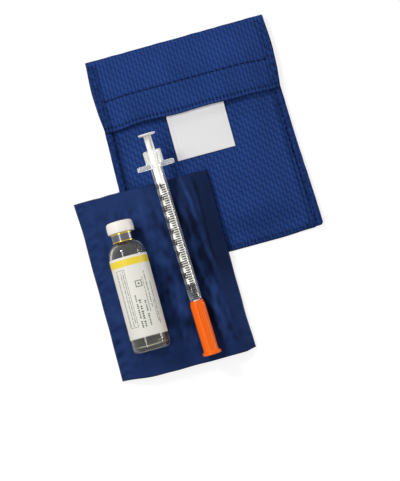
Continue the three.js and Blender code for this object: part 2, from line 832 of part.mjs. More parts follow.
// The syringe tips until it touches at two places, one on each side of its middle.
function syringeRest() {
  const yaw = THREE.MathUtils.degToRad(syringeYaw);
  const samples = [];
  for (let place = 0; place <= needleCapEnd; place += needleCapEnd / 120) {
    const x = syringeX + place * Math.sin(yaw);
    const y = syringeTopY - place * Math.cos(yaw);
    samples.push({ place, height: supportHeight(x, y) + syringeReach(place) + syringeRestGap });
  }
  let best = null;
  for (const upper of samples.filter((sample) => sample.place < needleCapEnd / 2))
    for (const lower of samples.filter((sample) => sample.place > needleCapEnd / 2)) {
      const slope = (lower.height - upper.height) / (lower.place - upper.place);
      const clears = samples.every(
        ({ place, height }) => upper.height + slope * (place - upper.place) > height - layerGap / 10,
      );
      const middle = upper.height + slope * (needleCapEnd / 2 - upper.place);
      if (clears && (!best || middle < best.middle)) best = { middle, slope, top: upper.height - slope * upper.place };
    }
  return best;
}

function makeSyringe() {
  const syringe = new THREE.Group();
  const rest = syringeRest();
  syringe.position.set(syringeX, syringeTopY, rest.top);
  syringe.rotation.set(-Math.atan(rest.slope), 0, THREE.MathUtils.degToRad(syringeYaw), "ZYX");
  syringe.add(piece("syringe_barrel", barrelGeometry(), clearPlastic));
  syringe.add(piece("plunger_rod", rodGeometry(), clearPlastic));
  syringe.add(piece("plunger_stopper", stopperGeometry(), greyRubber));
  syringe.add(piece("needle_hub", hubGeometry(), whitePlastic));
  syringe.add(piece("needle", needleGeometry(), needleSteel));
  syringe.add(piece("needle_cap", needleCapGeometry(), orangePlastic));
  return syringe;
}

const coolingCase = new THREE.Group();
coolingCase.add(makeCover(), makeFlap(), makeFold(), makePouch(), makeVial(), makeSyringe());

export default coolingCase;
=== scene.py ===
"""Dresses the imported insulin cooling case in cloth, glass and plastic.

Laid out as a Blender add-on and run as a script. Everything is in metres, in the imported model's
frame: +X across the cover, +Y up to the fold of its flap, +Z up from the table.
"""
import json
import math
import random

import bmesh
import bpy
import numpy as np
from bpy.props import FloatProperty, FloatVectorProperty, IntProperty, PointerProperty
from mathutils import Color, Matrix, Vector, noise
from mathutils.bvhtree import BVHTree


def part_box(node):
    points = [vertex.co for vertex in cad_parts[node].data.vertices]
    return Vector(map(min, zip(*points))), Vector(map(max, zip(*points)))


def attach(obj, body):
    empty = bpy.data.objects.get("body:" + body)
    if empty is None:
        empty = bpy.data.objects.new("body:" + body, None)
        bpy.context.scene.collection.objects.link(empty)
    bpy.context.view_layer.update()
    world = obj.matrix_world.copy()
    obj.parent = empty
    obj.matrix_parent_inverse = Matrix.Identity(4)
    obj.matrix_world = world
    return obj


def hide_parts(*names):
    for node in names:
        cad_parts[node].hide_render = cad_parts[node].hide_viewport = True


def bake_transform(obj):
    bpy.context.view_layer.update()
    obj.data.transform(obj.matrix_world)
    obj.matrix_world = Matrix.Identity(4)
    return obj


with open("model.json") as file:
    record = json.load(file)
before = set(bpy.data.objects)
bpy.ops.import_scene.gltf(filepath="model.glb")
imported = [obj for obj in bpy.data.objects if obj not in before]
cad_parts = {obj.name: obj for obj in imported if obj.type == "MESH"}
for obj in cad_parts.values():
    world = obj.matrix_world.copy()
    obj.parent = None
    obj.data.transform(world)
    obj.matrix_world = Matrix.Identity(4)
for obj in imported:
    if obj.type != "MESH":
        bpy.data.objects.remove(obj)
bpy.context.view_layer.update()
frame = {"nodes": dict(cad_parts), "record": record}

bl_info = {
    "name": "Insulin Cooling Case",
    "version": (1, 0, 0),
    "blender": (4, 5, 0),
    "location": "View3D > Sidebar > Cooling Case",
    "description": "Dresses the packed cooling case in cloth, glass and plastic",
    "category": "Object",
}

CHANNEL_MAX = 255
TURN = 2 * math.pi
UP = Vector((0, 0, 1))

# Measuring: a small step past an end, and a height above everything
MARGIN = 0.001
SKY = 0.1

# The photograph's frame
PHOTO_WIDTH = 400
PHOTO_HEIGHT = 481

# Cloth: the steps of its grids, its smoothing, its edges, and how much thinner it is than its node
COVER_GRID = 0.0008
FLAP_GRID = 0.0005
POUCH_GRID = 0.00055
LINING_GRID = 0.0015
SOFTENING = 0.0022
RIM_BEVEL = 0.00014
RIM_ANGLE = math.radians(60)
WALL_TRIM = 0.0001
HEIGHT_SHARES = (1, 0.998, 0.99, 0.97, 0.94, 0.9)

# Thread
STITCH_SIDES = 6
STITCH_RINGS = 4

# Turned pieces
TURN_STEPS = 96
SMALL_STEPS = 64
DISC_STEPS = 48
FILLET_STEPS = 5
SHARP_ANGLE = math.radians(38)
WELD = 0.000002

# How far a rounded edge of a turned piece runs from its corner
EDGE_CRISP = 0.0002
EDGE_SMALL = 0.0003
EDGE_SOFT = 0.0004
EDGE_MEDIUM = 0.0005
EDGE_WIDE = 0.0006
EDGE_BROAD = 0.0012


# Properties


def colour(name, description, seen):
    """A colour property. Its default is given as the eye sees it, 0 to 255 a channel."""
    linear = Color([channel / CHANNEL_MAX for channel in seen]).from_srgb_to_scene_linear()
    return FloatVectorProperty(
        name=name, description=description, subtype="COLOR", size=3, min=0, max=1, default=tuple(linear)
    )


def length(name, description, default):
    return FloatProperty(
        name=name, description=description, default=default, min=0, unit="LENGTH", precision=5
    )


def rotation(name, description, degrees):
    return FloatProperty(name=name, description=description, default=math.radians(degrees), unit="ROTATION")


def level(name, description, default):
    return FloatProperty(name=name, description=description, default=default, min=0)


def whole(name, description, default, lowest=1):
    return IntProperty(name=name, description=description, default=default, min=lowest)


class CoverLook(bpy.types.PropertyGroup):
    cloth_colour: colour("Cloth", "Royal blue of the cover's raised ribs", (38, 66, 127))
    groove_colour: colour("Grooves", "Darker blue between the ribs", (26, 50, 104))
    binding_colour: colour("Bindings", "Blue of the tape's raised ribs", (31, 56, 112))
    tape_colour: colour("Closure tape", "Dark blue of the hook and loop strips", (26, 38, 78))
    thread_colour: colour("Thread", "Navy of the sewing thread", (14, 24, 62))
    label_colour: colour("Label", "White of the woven label", (232, 231, 232))
    rib_pitch: length("Rib pitch", "From one rib of the cloth to the next", 0.0019)
    dash_length: length("Dash length", "Length of one raised dash along a rib", 0.0044)
    stitch_length: length("Stitch length", "Length of one stitch", 0.0024)
    stitch_gap: length("Stitch gap", "Cloth left between two stitches", 0.0009)
    thread_radius: length("Thread radius", "Half the thread's thickness", 0.0002)
    seam_drop: length("Seam drop", "From the top of the fold to the flap's long seam", 0.0249)
    hem_width: length("Side hem", "Width of the flap's turned side hems", 0.005)


class PouchLook(bpy.types.PropertyGroup):
    cloth_colour: colour("Cloth", "Navy of the pouch", (28, 47, 91))
    lining_colour: colour("Lining", "Darker navy inside the pouch", (24, 34, 66))
    crystal_colour: colour("Crystals", "Off-white of the cooling crystals", (232, 228, 214))
    pucker_height: length("Pucker height", "Height of the puckers along the sewn edges", 0.0017)
    pucker_pitch: length("Pucker pitch", "From one pucker to the next along an edge", 0.0034)
    pucker_reach: length("Pucker reach", "How far the puckers run in from the edge", 0.010)
    fold_height: length("Fold height", "Height of the long soft folds", 0.0017)
    band_width: length("Band width", "Width of the flattened band down the right edge", 0.0083)
    grain_size: length("Grain size", "Across one cooling crystal", 0.00078)


class VialLook(bpy.types.PropertyGroup):
    glass_colour: colour("Glass", "Tint of the vial's glass", (226, 221, 200))
    liquid_colour: colour("Liquid", "Tint of the insulin", (240, 242, 240))
    label_colour: colour("Label", "Cream of the paper label", (221, 219, 210))
    band_colour: colour("Band", "Yellow of the label's band", (228, 203, 52))
    ink_colour: colour("Ink", "Grey of the printed lines", (62, 60, 58))
    cap_colour: colour("Cap", "Off-white of the flip-off cap", (232, 226, 218))
    crimp_colour: colour("Crimp", "Grey of the aluminium crimp", (98, 99, 104))
    gold_colour: colour("Rolled rim", "Gold of the crimp's rolled rim", (176, 152, 70))
    stopper_colour: colour("Stopper", "Grey of the rubber stopper", (92, 88, 90))
    cap_radius: length("Cap radius", "Half the width of the flip-off cap", 0.0071)
    crimp_radius: length("Crimp radius", "Half the width of the crimp under the cap", 0.0059)
    band_drop: length("Band drop", "From the label's upper edge to its band", 0.0013)
    band_width: length("Band width", "Width of the label's band", 0.0036)


class SyringeLook(bpy.types.PropertyGroup):
    barrel_colour: colour("Barrel", "Milky clear plastic of the barrel", (242, 242, 238))
    rod_colour: colour("Plunger", "White of the plunger", (236, 234, 230))
    stopper_colour: colour("Stopper", "Black of the plunger's rubber stopper", (24, 23, 26))
    hub_colour: colour("Hub", "White of the needle's hub", (236, 235, 232))
    steel_colour: colour("Needle", "Steel of the needle", (190, 190, 192))
    cap_colour: colour("Cap", "Orange of the needle's cap", (240, 100, 0))
    ink_colour: colour("Ink", "Black of the scale and its numbers", (26, 26, 30))
    tick_width: length("Tick width", "Thickness of one line of the scale", 0.0006)
    number_height: length("Number height", "Height of the scale's numbers", 0.0029)
    scale_units: whole("Units", "Units on the whole scale", 100, lowest=10)
    scale_step: whole("Step", "Units between two lines", 2)
    number_step: whole("Number step", "Units between two numbers", 10)


class StageLook(bpy.types.PropertyGroup):
    floor_colour: colour("Floor", "White of the table", (255, 255, 255))
    camera_distance: length("Distance", "From the camera to the middle of the view", 0.8)
    view_width: length("View width", "Table shown across the photograph's 400 pixels", 0.2112)
    camera_tilt: rotation("Tilt", "How far the camera leans from straight down", 3.89)
    camera_roll: rotation("Roll", "How far the case is turned in the view", 15.23)
    camera_target: FloatVectorProperty(
        name="Target",
        description="The middle of the view on the table",
        default=(-0.01456, -0.0496, 0),
        unit="LENGTH",
    )
    world_level: level("World level", "Light from all round", 0.38)
    key_level: level("Key level", "Power of the large lamp at the upper left", 10.5)
    strip_level: level("Strip level", "Power of the narrow lamp at the left", 2.6)
    rim_level: level("Rim level", "Power of the low lamp at the right", 3.2)


class CoolingCaseLook(bpy.types.PropertyGroup):
    cover: PointerProperty(type=CoverLook)
    pouch: PointerProperty(type=PouchLook)
    vial: PointerProperty(type=VialLook)
    syringe: PointerProperty(type=SyringeLook)
    stage: PointerProperty(type=StageLook)


def look():
    return bpy.context.scene.cooling_case


# Shader nodes


class Tree:
    """Adds nodes to a material or a group, from left to right, and joins their sockets."""

    step = 180

    def __init__(self, tree):
        self.tree = tree

    def add(self, kind, inputs=None, **settings):
        node = self.tree.nodes.new(kind)
        node.location.x = self.step * len(self.tree.nodes)
        for name, value in settings.items():
            setattr(node, name, value)
        for socket, value in (inputs or {}).items():
            self.feed(node, socket, value)
        return node

    def feed(self, node, socket, value):
        if isinstance(value, bpy.types.NodeSocket):
            self.tree.links.new(value, node.inputs[socket])
        else:
            node.inputs[socket].default_value = value

    def math(self, operation, *values):
        node = self.add("ShaderNodeMath", operation=operation)
        for socket, value in enumerate(values):
            self.feed(node, socket, value)
        return node.outputs[0]

    def ramp(self, value, start, end, low=0.0, high=1.0):
        """A value that goes smoothly from low to high while another goes from start to end."""
        sockets = {"Value": value, "From Min": start, "From Max": end, "To Min": low, "To Max": high}
        node = self.add("ShaderNodeMapRange", sockets, interpolation_type="SMOOTHSTEP")
        return node.outputs["Result"]

    def mix(self, factor, first, second, blend="MIX"):
        node = self.add("ShaderNodeMix", data_type="RGBA", blend_type=blend)
        self.feed(node, "Factor", factor)
        colour_inputs = [socket for socket in node.inputs if socket.type == "RGBA"]
        for socket, value in zip(colour_inputs, (first, second)):
            if isinstance(value, bpy.types.NodeSocket):
                self.tree.links.new(value, socket)
            else:
                socket.default_value = (*value, 1)
        return next(socket for socket in node.outputs if socket.type == "RGBA")

    def noise(self, vector, scale, detail):
        sockets = {"Vector": vector, "Scale": scale, "Detail": detail}
        return self.add("ShaderNodeTexNoise", sockets).outputs["Fac"]

    def group(self, group, **inputs):
        sockets = {name.replace("_", " ").capitalize(): value for name, value in inputs.items()}
        return self.add("ShaderNodeGroup", sockets, node_tree=group).outputs

    def bump(self, height, distance, strength=1.0):
        sockets = {"Height": height, "Distance": distance, "Strength": strength}
        return self.add("ShaderNodeBump", sockets).outputs["Normal"]

    def surface(self, factor, first, second):
        """Shows a mix of two shaders as the material's surface."""
        mixed = self.add("ShaderNodeMixShader", {"Fac": factor})
        self.tree.links.new(first.outputs[0], mixed.inputs[1])
        self.tree.links.new(second.outputs[0], mixed.inputs[2])
        self.tree.links.new(mixed.outputs[0], self.tree.nodes["Material Output"].inputs["Surface"])


def shader_group(name, inputs, outputs):
    """A new shader node group: its tree, its inputs' sockets, and the node that its outputs feed."""
    group = bpy.data.node_groups.new(name, "ShaderNodeTree")
    for socket, default in inputs.items():
        kind = "NodeSocketVector" if default is None else "NodeSocketFloat"
        made = group.interface.new_socket(socket, in_out="INPUT", socket_type=kind)
        if default is not None:
            made.default_value = default
    for socket in outputs:
        group.interface.new_socket(socket, in_out="OUTPUT", socket_type="NodeSocketFloat")
    tree = Tree(group)
    given = tree.add("NodeGroupInput").outputs
    return tree, given, tree.add("NodeGroupOutput")


def built_once(make):
    """A node group is built the first time that a material asks for it, and then used again."""

    def find():
        name = make.__name__
        return bpy.data.node_groups.get(name) or make(name)

    return find


@built_once
def ribbed_weave(name):
    """Ribs along Y made of raised dashes, each rib's dashes half a step further along than the last's."""
    stagger_share = 0.5
    ridge_share, groove_share = 0.08, 0.78
    end_share = 0.22
    inputs = {"Position": None, "Pitch": 0.0019, "Dash": 0.0034, "Lean": 0.4, "Cut": 0.5}
    tree, given, out = shader_group(name, inputs, ["Height", "Dots"])
    place = tree.add("ShaderNodeSeparateXYZ", {"Vector": given["Position"]}).outputs
    across = tree.math("DIVIDE", place["X"], given["Pitch"])
    column = tree.math("FLOOR", across)
    from_left = tree.math("SUBTRACT", across, column)
    along = tree.math("DIVIDE", place["Y"], given["Dash"])
    moved = tree.math("MULTIPLY_ADD", column, stagger_share, along)
    share = tree.math("FRACT", moved)
    lean = tree.math("MULTIPLY", tree.math("SUBTRACT", share, 0.5), given["Lean"])
    aside = tree.math("SUBTRACT", tree.math("SUBTRACT", from_left, 0.5), lean)
    from_ridge = tree.math("MULTIPLY", tree.math("ABSOLUTE", aside), 2)
    ridge = tree.ramp(from_ridge, groove_share, ridge_share)
    start = tree.ramp(share, 0.0, end_share)
    end = tree.ramp(share, 1.0, 1 - end_share)
    gap = tree.math("SUBTRACT", 1.0, tree.math("MULTIPLY", start, end))
    lost = tree.math("MULTIPLY", gap, given["Cut"])
    tree.feed(out, "Height", tree.math("MULTIPLY", ridge, tree.math("SUBTRACT", 1.0, lost)))
    tree.feed(out, "Dots", tree.math("MULTIPLY", gap, tree.math("SUBTRACT", 1.0, ridge)))
    return tree.tree


@built_once
def plain_weave(name):
    """Warp and weft threads that pass over each other in turn."""
    inputs = {"Position": None, "Thread": 0.0003}
    tree, given, out = shader_group(name, inputs, ["Height"])
    place = tree.add("ShaderNodeSeparateXYZ", {"Vector": given["Position"]}).outputs
    across = tree.math("DIVIDE", place["X"], given["Thread"])
    along = tree.math("DIVIDE", place["Y"], given["Thread"])
    warp = tree.math("ABSOLUTE", tree.math("SINE", tree.math("MULTIPLY", across, math.pi)))
    weft = tree.math("ABSOLUTE", tree.math("SINE", tree.math("MULTIPLY", along, math.pi)))
    cell = tree.math("ADD", tree.math("FLOOR", across), tree.math("FLOOR", along))
    on_top = tree.math("FRACT", tree.math("MULTIPLY", cell, 0.5))
    weft_share = tree.math("MULTIPLY", on_top, 2)
    warp_part = tree.math("MULTIPLY", warp, tree.math("SUBTRACT", 1.0, weft_share))
    tree.feed(out, "Height", tree.math("MULTIPLY_ADD", weft, weft_share, warp_part))
    return tree.tree


@built_once
def uneven(name):
    """Wide and fine unevenness as a factor about 1, for colours and roughness."""
    wide_detail, fine_detail = 3.0, 2.0
    inputs = {"Position": None, "Wide": 90.0, "Fine": 1400.0, "Amount": 0.15}
    tree, given, out = shader_group(name, inputs, ["Factor", "Height"])
    wide = tree.noise(given["Position"], given["Wide"], wide_detail)
    fine = tree.noise(given["Position"], given["Fine"], fine_detail)
    both = tree.math("MULTIPLY_ADD", tree.math("ADD", wide, fine), 1.0, -1.0)
    tree.feed(out, "Factor", tree.math("MULTIPLY_ADD", both, given["Amount"], 1.0))
    tree.feed(out, "Height", fine)
    return tree.tree


def new_material(name, **sockets):
    """A material of one Principled shader with constant sockets: the material, its tree and shader."""
    material = bpy.data.materials.new(name)
    material.use_nodes = True
    tree = Tree(material.node_tree)
    shader = material.node_tree.nodes["Principled BSDF"]
    for socket, value in sockets.items():
        shader.inputs[socket.replace("_", " ")].default_value = value
    return material, tree, shader


def coordinates(tree, kind="Object"):
    return tree.add("ShaderNodeTexCoord").outputs[kind]


def shaded(tree, colour_socket, factor):
    """A colour made lighter or darker by a factor."""
    grey = tree.add("ShaderNodeCombineColor", {"Red": factor, "Green": factor, "Blue": factor}).outputs[0]
    return tree.mix(1.0, colour_socket, grey, "MULTIPLY")


def cloth_shade(tree):
    """The shade that a cloth's mesh carries: 1 for plain cloth, less for painted shade in seams and grooves,
    more for painted highlights on ridges, and random tone besides.
    """
    return tree.add("ShaderNodeAttribute", attribute_name="shade").outputs["Fac"]


def ribbed_material(name, lean, cut, dots_share, ridge=None, kind="Object"):
    """The cover's cloth: dashes in ribs, darker between them and at their ends."""
    fibre_share, relief, relief_strength = 0.3, 0.00013, 0.7
    cover = look().cover
    dull = {"Sheen_Weight": 0.03, "Sheen_Roughness": 0.5, "Specular_IOR_Level": 0.05}
    material, tree, shader = new_material(name, Roughness=0.85, **dull)
    place = coordinates(tree, kind)
    size = {"pitch": cover.rib_pitch, "dash": cover.dash_length}
    weave = tree.group(ribbed_weave(), position=place, lean=lean, cut=cut, **size)
    variation = tree.group(uneven(), position=place, wide=70.0, fine=1300.0, amount=0.5)
    ribs = tree.mix(weave["Height"], cover.groove_colour, ridge or cover.cloth_colour)
    dots = tree.math("MULTIPLY", weave["Dots"], dots_share)
    dotted = tree.mix(dots, ribs, cover.thread_colour)
    shade = tree.math("MULTIPLY", cloth_shade(tree), variation["Factor"])
    tree.feed(shader, "Base Color", shaded(tree, dotted, shade))
    height = tree.math("MULTIPLY_ADD", variation["Height"], fibre_share, weave["Height"])
    tree.feed(shader, "Normal", tree.bump(height, relief, relief_strength))
    return material


def woven_material(name, base, thread, relief, roughness, sheen, amount, **more):
    """A plain woven cloth or tape with soft unevenness."""
    fibre_share, low_shade, high_shade = 0.4, 0.86, 1.06
    material, tree, shader = new_material(name, Roughness=roughness, Sheen_Weight=sheen, **more)
    place = coordinates(tree)
    weave = tree.group(plain_weave(), position=place, thread=thread)
    variation = tree.group(uneven(), position=place, wide=110.0, fine=1800.0, amount=amount)
    lit = tree.ramp(weave["Height"], 0.0, 1.0, low_shade, high_shade)
    shade = tree.math("MULTIPLY", tree.math("MULTIPLY", cloth_shade(tree), variation["Factor"]), lit)
    tree.feed(shader, "Base Color", shaded(tree, tree.mix(0.0, base, base), shade))
    height = tree.math("MULTIPLY_ADD", variation["Height"], fibre_share, weave["Height"])
    tree.feed(shader, "Normal", tree.bump(height, relief))
    return material


def varied_material(name, base, roughness, fine, amount, **more):
    """Faint unevenness in colour and gloss: the material, its tree and shader, and the unevenness."""
    material, tree, shader = new_material(name, **more)
    variation = tree.group(uneven(), position=coordinates(tree), wide=60.0, fine=fine, amount=amount)
    tree.feed(shader, "Base Color", shaded(tree, tree.mix(0.0, base, base), variation["Factor"]))
    tree.feed(shader, "Roughness", tree.math("MULTIPLY", variation["Factor"], roughness))
    return material, tree, shader, variation


def moulded_material(name, base, roughness, amount, relief=0.00001, fine=900.0, **more):
    """Moulded plastic, rubber or metal, uneven in its surface too."""
    material, tree, shader, variation = varied_material(name, base, roughness, fine, amount, **more)
    tree.feed(shader, "Normal", tree.bump(variation["Height"], relief))
    return material


def let_light_in(tree, shader):
    """Lets the lamps shine through clear glass or plastic onto what is behind it."""
    passed_light = (0.92, 0.92, 0.92, 1)
    path = tree.add("ShaderNodeLightPath").outputs
    clear = tree.add("ShaderNodeBsdfTransparent", {"Color": passed_light})
    tree.surface(path["Is Shadow Ray"], shader, clear)


def clear_material(name, base, roughness, **more):
    """Clear glass, liquid or plastic, smooth but for its faint unevenness."""
    material, tree, shader, _ = varied_material(name, base, roughness, fine=150.0, amount=0.04, **more)
    let_light_in(tree, shader)
    return material


def thread_material():
    twist = {"thread": 0.00018, "relief": 0.00006, "roughness": 0.8, "sheen": 0.0, "amount": 0.15}
    return woven_material("sewing_thread", look().cover.thread_colour, **twist, Specular_IOR_Level=0.05)


def label_paper_material(top_y):
    """The vial's paper label: a yellow band near its upper edge, and soft paper grain."""
    band_edge, relief = 0.00008, 0.00002
    vial = look().vial
    material, tree, shader = new_material("vial_label_paper", Roughness=0.45, Specular_IOR_Level=0.35)
    place = coordinates(tree)
    variation = tree.group(uneven(), position=place, wide=50.0, fine=1600.0, amount=0.07)
    along = tree.add("ShaderNodeSeparateXYZ", {"Vector": place}).outputs["Y"]
    band_top = top_y - vial.band_drop
    band_low = band_top - vial.band_width
    above = tree.ramp(along, band_low - band_edge, band_low + band_edge)
    below = tree.ramp(along, band_top + band_edge, band_top - band_edge)
    printed = tree.mix(tree.math("MULTIPLY", above, below), vial.label_colour, vial.band_colour)
    tree.feed(shader, "Base Color", shaded(tree, printed, variation["Factor"]))
    tree.feed(shader, "Normal", tree.bump(variation["Height"], relief))
    return material


# Meshes


def to_object(bm, name, material, smooth=True):
    """A new object at the origin from a bmesh, with its sharp edges marked."""
    mesh = bpy.data.meshes.new(name)
    bm.to_mesh(mesh)
    bm.free()
    if smooth:
        shade_smooth(mesh)
    mesh.materials.append(material)
    made = bpy.data.objects.new(name, mesh)
    bpy.context.collection.objects.link(made)
    return made


def shade_smooth(mesh):
    mesh.polygons.foreach_set("use_smooth", [True] * len(mesh.polygons))
    mesh.set_sharp_from_angle(angle=SHARP_ANGLE)


def place_piece(piece, body, slot, *nodes):
    """Attaches a piece to the body that it rides on, and hides the CAD nodes that it stands for. Its slot is
    not used.
    """
    if body:
        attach(piece, body)
    if nodes:
        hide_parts(*nodes)


def shaped_mesh(piece):
    """A new mesh of an object as its modifiers, or its curve's own bevel, leave it."""
    graph = bpy.context.evaluated_depsgraph_get()
    graph.update()
    return bpy.data.meshes.new_from_object(piece.evaluated_get(graph), depsgraph=graph)


def bake(piece):
    """Gives a piece its mesh as its modifiers leave it, and removes them."""
    shaped = shaped_mesh(piece)
    piece.modifiers.clear()
    old = piece.data
    piece.data = shaped
    bpy.data.meshes.remove(old)


def unite(piece, *others):
    """Joins closed shells into one, so that nothing is left inside."""
    for other in others:
        join = piece.modifiers.new("join", "BOOLEAN")
        join.operation = "UNION"
        join.solver = "MANIFOLD"
        join.object = other
        bake(piece)
        old = other.data
        bpy.data.objects.remove(other)
        bpy.data.meshes.remove(old)
    bm = bmesh.new()
    bm.from_mesh(piece.data)
    many_sided = [face for face in bm.faces if len(face.verts) > 4]
    bmesh.ops.triangulate(bm, faces=many_sided, quad_method="BEAUTY", ngon_method="BEAUTY")
    bm.to_mesh(piece.data)
    bm.free()
    shade_smooth(piece.data)
    return piece


def round_off(bm, edges, width, segments):
    bmesh.ops.bevel(
        bm, geom=edges, offset=width, segments=segments, profile=0.5, affect="EDGES", material=-1
    )


def rise(value, start, run):
    """Goes smoothly from 0 to 1 while a value goes from a start over a run."""
    share = np.clip((value - start) / run, 0, 1)
    return share * share * (3 - 2 * share)


def fall(value, start, run):
    """Goes smoothly from 1 to 0 while a value goes from a start over a run."""
    return 1 - rise(value, start, run)


def line(distance, half_width):
    """1 on a line, and smoothly 0 from half_width on either side of it."""
    return fall(np.abs(distance), 0, half_width)


def ripple(x, y, seed):
    """Smooth noise from about -1 to 1 over places given in sizes of one ripple."""
    places = np.stack([x, y, np.full_like(x, seed)], axis=-1).reshape(-1, 3)
    return np.array([noise.noise(Vector(place)) for place in places]).reshape(x.shape)


def crease(x, y, seed):
    """Wrinkles from 0 in the hollows to 1 along their narrow crests."""
    sharpness = 2.6
    return 1 - np.minimum(np.abs(ripple(x, y, seed)) * sharpness, 1)


def soften(values, spacing, reach):
    """Smooths a grid of values over a reach, keeping its shape at the edges."""
    for _ in range(max(1, round(2 * (reach / spacing) ** 2))):
        padded = np.pad(values, 1, mode="edge")
        rows = (padded[:-2, 1:-1] + 2 * padded[1:-1, 1:-1] + padded[2:, 1:-1]) / 4
        padded = np.pad(rows, 1, mode="edge")
        values = (padded[1:-1, :-2] + 2 * padded[1:-1, 1:-1] + padded[1:-1, 2:]) / 4
    return values


class Shell:
    """A CAD node's surface, asked for its heights and its side lines."""

    digits = 6

    def __init__(self, node):
        mesh = frame["nodes"][node].data
        self.low, self.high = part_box(node)
        corners = [vertex.co.copy() for vertex in mesh.vertices]
        self.tree = BVHTree.FromPolygons(corners, [tuple(face.vertices) for face in mesh.polygons])
        rows = {}
        for corner in corners:
            rows.setdefault(round(corner.y, self.digits), []).append(corner.x)
        self.rows = sorted(rows)
        self.lefts = [min(rows[y]) for y in self.rows]
        self.rights = [max(rows[y]) for y in self.rows]

    def sides(self, y):
        return np.interp(y, self.rows, self.lefts), np.interp(y, self.rows, self.rights)

    def height(self, x, y, from_above=True):
        """The height of the upper or under face at a place, taken just inside where it is past an edge."""
        middle = (self.low + self.high) / 2
        start, way = (self.high.z + MARGIN, -UP) if from_above else (self.low.z - MARGIN, UP)
        for share in HEIGHT_SHARES:
            origin = Vector((middle.x + (x - middle.x) * share, middle.y + (y - middle.y) * share, start))
            hit = self.tree.ray_cast(origin, way)[0]
            if hit:
                return hit.z
        raise ValueError(f"no surface at {x:.4f}, {y:.4f}")

    def heights(self, x, y):
        """The heights of the upper face over a grid of places."""
        flat = [self.height(a, b) for a, b in zip(x.ravel(), y.ravel())]
        return np.array(flat).reshape(x.shape)


class Cloth:
    """A panel of cloth: a fine grid of places laid on the upper face of a CAD node."""

    def __init__(self, node, spacing, inset=0.0, reach=SOFTENING):
        self.shell = Shell(node)
        low, high = self.shell.low, self.shell.high
        columns = round((high.x - low.x) / spacing)
        rows = round((high.y - low.y) / spacing)
        across, along = np.meshgrid(np.linspace(0, 1, columns + 1), np.linspace(0, 1, rows + 1))
        self.y = low.y + inset + along * (high.y - low.y - 2 * inset)
        left, right = self.shell.sides(self.y)
        self.x = left + inset + across * (right - left - 2 * inset)
        self.from_left, self.from_right = self.x - left - inset, right - inset - self.x
        self.from_low, self.from_high = self.y - low.y - inset, high.y - inset - self.y
        self.z = soften(self.shell.heights(self.x, self.y), spacing, reach)
        self.shade = np.ones_like(self.x)

    @property
    def from_side(self):
        return np.minimum(self.from_left, self.from_right)

    @property
    def from_edge(self):
        return np.minimum(self.from_side, np.minimum(self.from_low, self.from_high))

    def ripple(self, across, along, seed):
        """Smooth noise over the cloth, of ripples with a width and a length."""
        return ripple(self.x / across, self.y / along, seed)

    def gathers(self, pitch, wander):
        """Even gathers across the cloth from 0 to 1, moved aside by a wander in radians."""
        return 0.5 + 0.5 * np.sin(TURN * self.x / pitch + wander)

    def press(self, mask, depth, painted_shade=0.0):
        """Presses the cloth down and darkens it with painted shade, in proportion to a mask. A negative share
        paints a highlight.
        """
        self.z = self.z - depth * mask
        self.shade = self.shade * (1 - painted_shade * mask)

    def roll_down(self, distance, drop, radius):
        """Turns an edge down in a quarter round, by the distance of each place from it."""
        share = np.clip(1 - distance / radius, 0, 1)
        self.z = self.z - drop * (1 - np.sqrt(1 - share * share))

    def make(self, name, material, thickness, bevel=RIM_BEVEL):
        rows, columns = self.x.shape
        bm, layer = cloth_grid(columns - 1, rows - 1)
        places = np.stack([self.x, self.y, self.z], axis=-1).reshape(-1, 3)
        for vertex, place, shade in zip(bm.verts, places, self.shade.ravel()):
            vertex.co = place
            vertex[layer] = shade
        piece = to_object(bm, name, material)
        add_thickness(piece, thickness, bevel)
        return piece


def cloth_grid(columns, rows):
    """A grid whose vertices are still to be placed, and the layer for their shades."""
    bm = bmesh.new()
    bmesh.ops.create_grid(bm, x_segments=columns, y_segments=rows, size=0.5)
    return bm, bm.verts.layers.float.new("shade")


def add_thickness(piece, thickness, bevel=RIM_BEVEL):
    """Gives a sheet its thickness below its upper face, and softens its rim."""
    wall = piece.modifiers.new("thickness", "SOLIDIFY")
    wall.thickness = thickness
    wall.offset = -1
    if bevel:
        edge = piece.modifiers.new("rim", "BEVEL")
        edge.width = bevel
        edge.segments = 2
        edge.limit_method = "ANGLE"
        edge.angle_limit = RIM_ANGLE


def sewn_line(name, places, material):
    """Separate stitches along a line of places, each a small rounded length of thread."""
    cover = look().cover
    radius = cover.thread_radius
    step = cover.stitch_length + cover.stitch_gap
    lengths = [0.0]
    for first, second in zip(places, places[1:]):
        lengths.append(lengths[-1] + (second - first).length)
    columns = [np.array([place[axis] for place in places]) for axis in range(3)]

    def at(distance):
        return Vector([float(np.interp(distance, lengths, column)) for column in columns])

    count = int(lengths[-1] / step)
    spare = (lengths[-1] - count * step + cover.stitch_gap) / 2
    sphere = {"u_segments": STITCH_SIDES, "v_segments": STITCH_RINGS, "radius": 1}
    bm = bmesh.new()
    for stitch in range(count):
        start = at(spare + stitch * step)
        end = at(spare + stitch * step + cover.stitch_length)
        turn = (end - start).to_track_quat("Z", "Y").to_matrix().to_4x4()
        size = Matrix.Diagonal((radius, radius, (end - start).length / 2, 1))
        matrix = Matrix.Translation((start + end) / 2) @ turn @ size
        bmesh.ops.create_uvsphere(bm, matrix=matrix, **sphere)
    return to_object(bm, name, material)


def surface_tree(piece):
    """A piece's finished surface, to lay stitches on."""
    graph = bpy.context.evaluated_depsgraph_get()
    graph.update()
    return BVHTree.FromObject(piece, graph)


def laid_on(tree, places, lift=0.0):
    """Places dropped from above onto a surface, and left out where there is none."""
    laid = []
    for x, y in places:
        hit = tree.ray_cast(Vector((x, y, SKY)), -UP)[0]
        if hit:
            laid.append(hit + lift * UP)
    return laid


def straight(start, end, count):
    """Places at even steps from one place to another."""
    start, way = np.array(start), np.array(end) - np.array(start)
    return [tuple(start + way * step / count) for step in range(count + 1)]


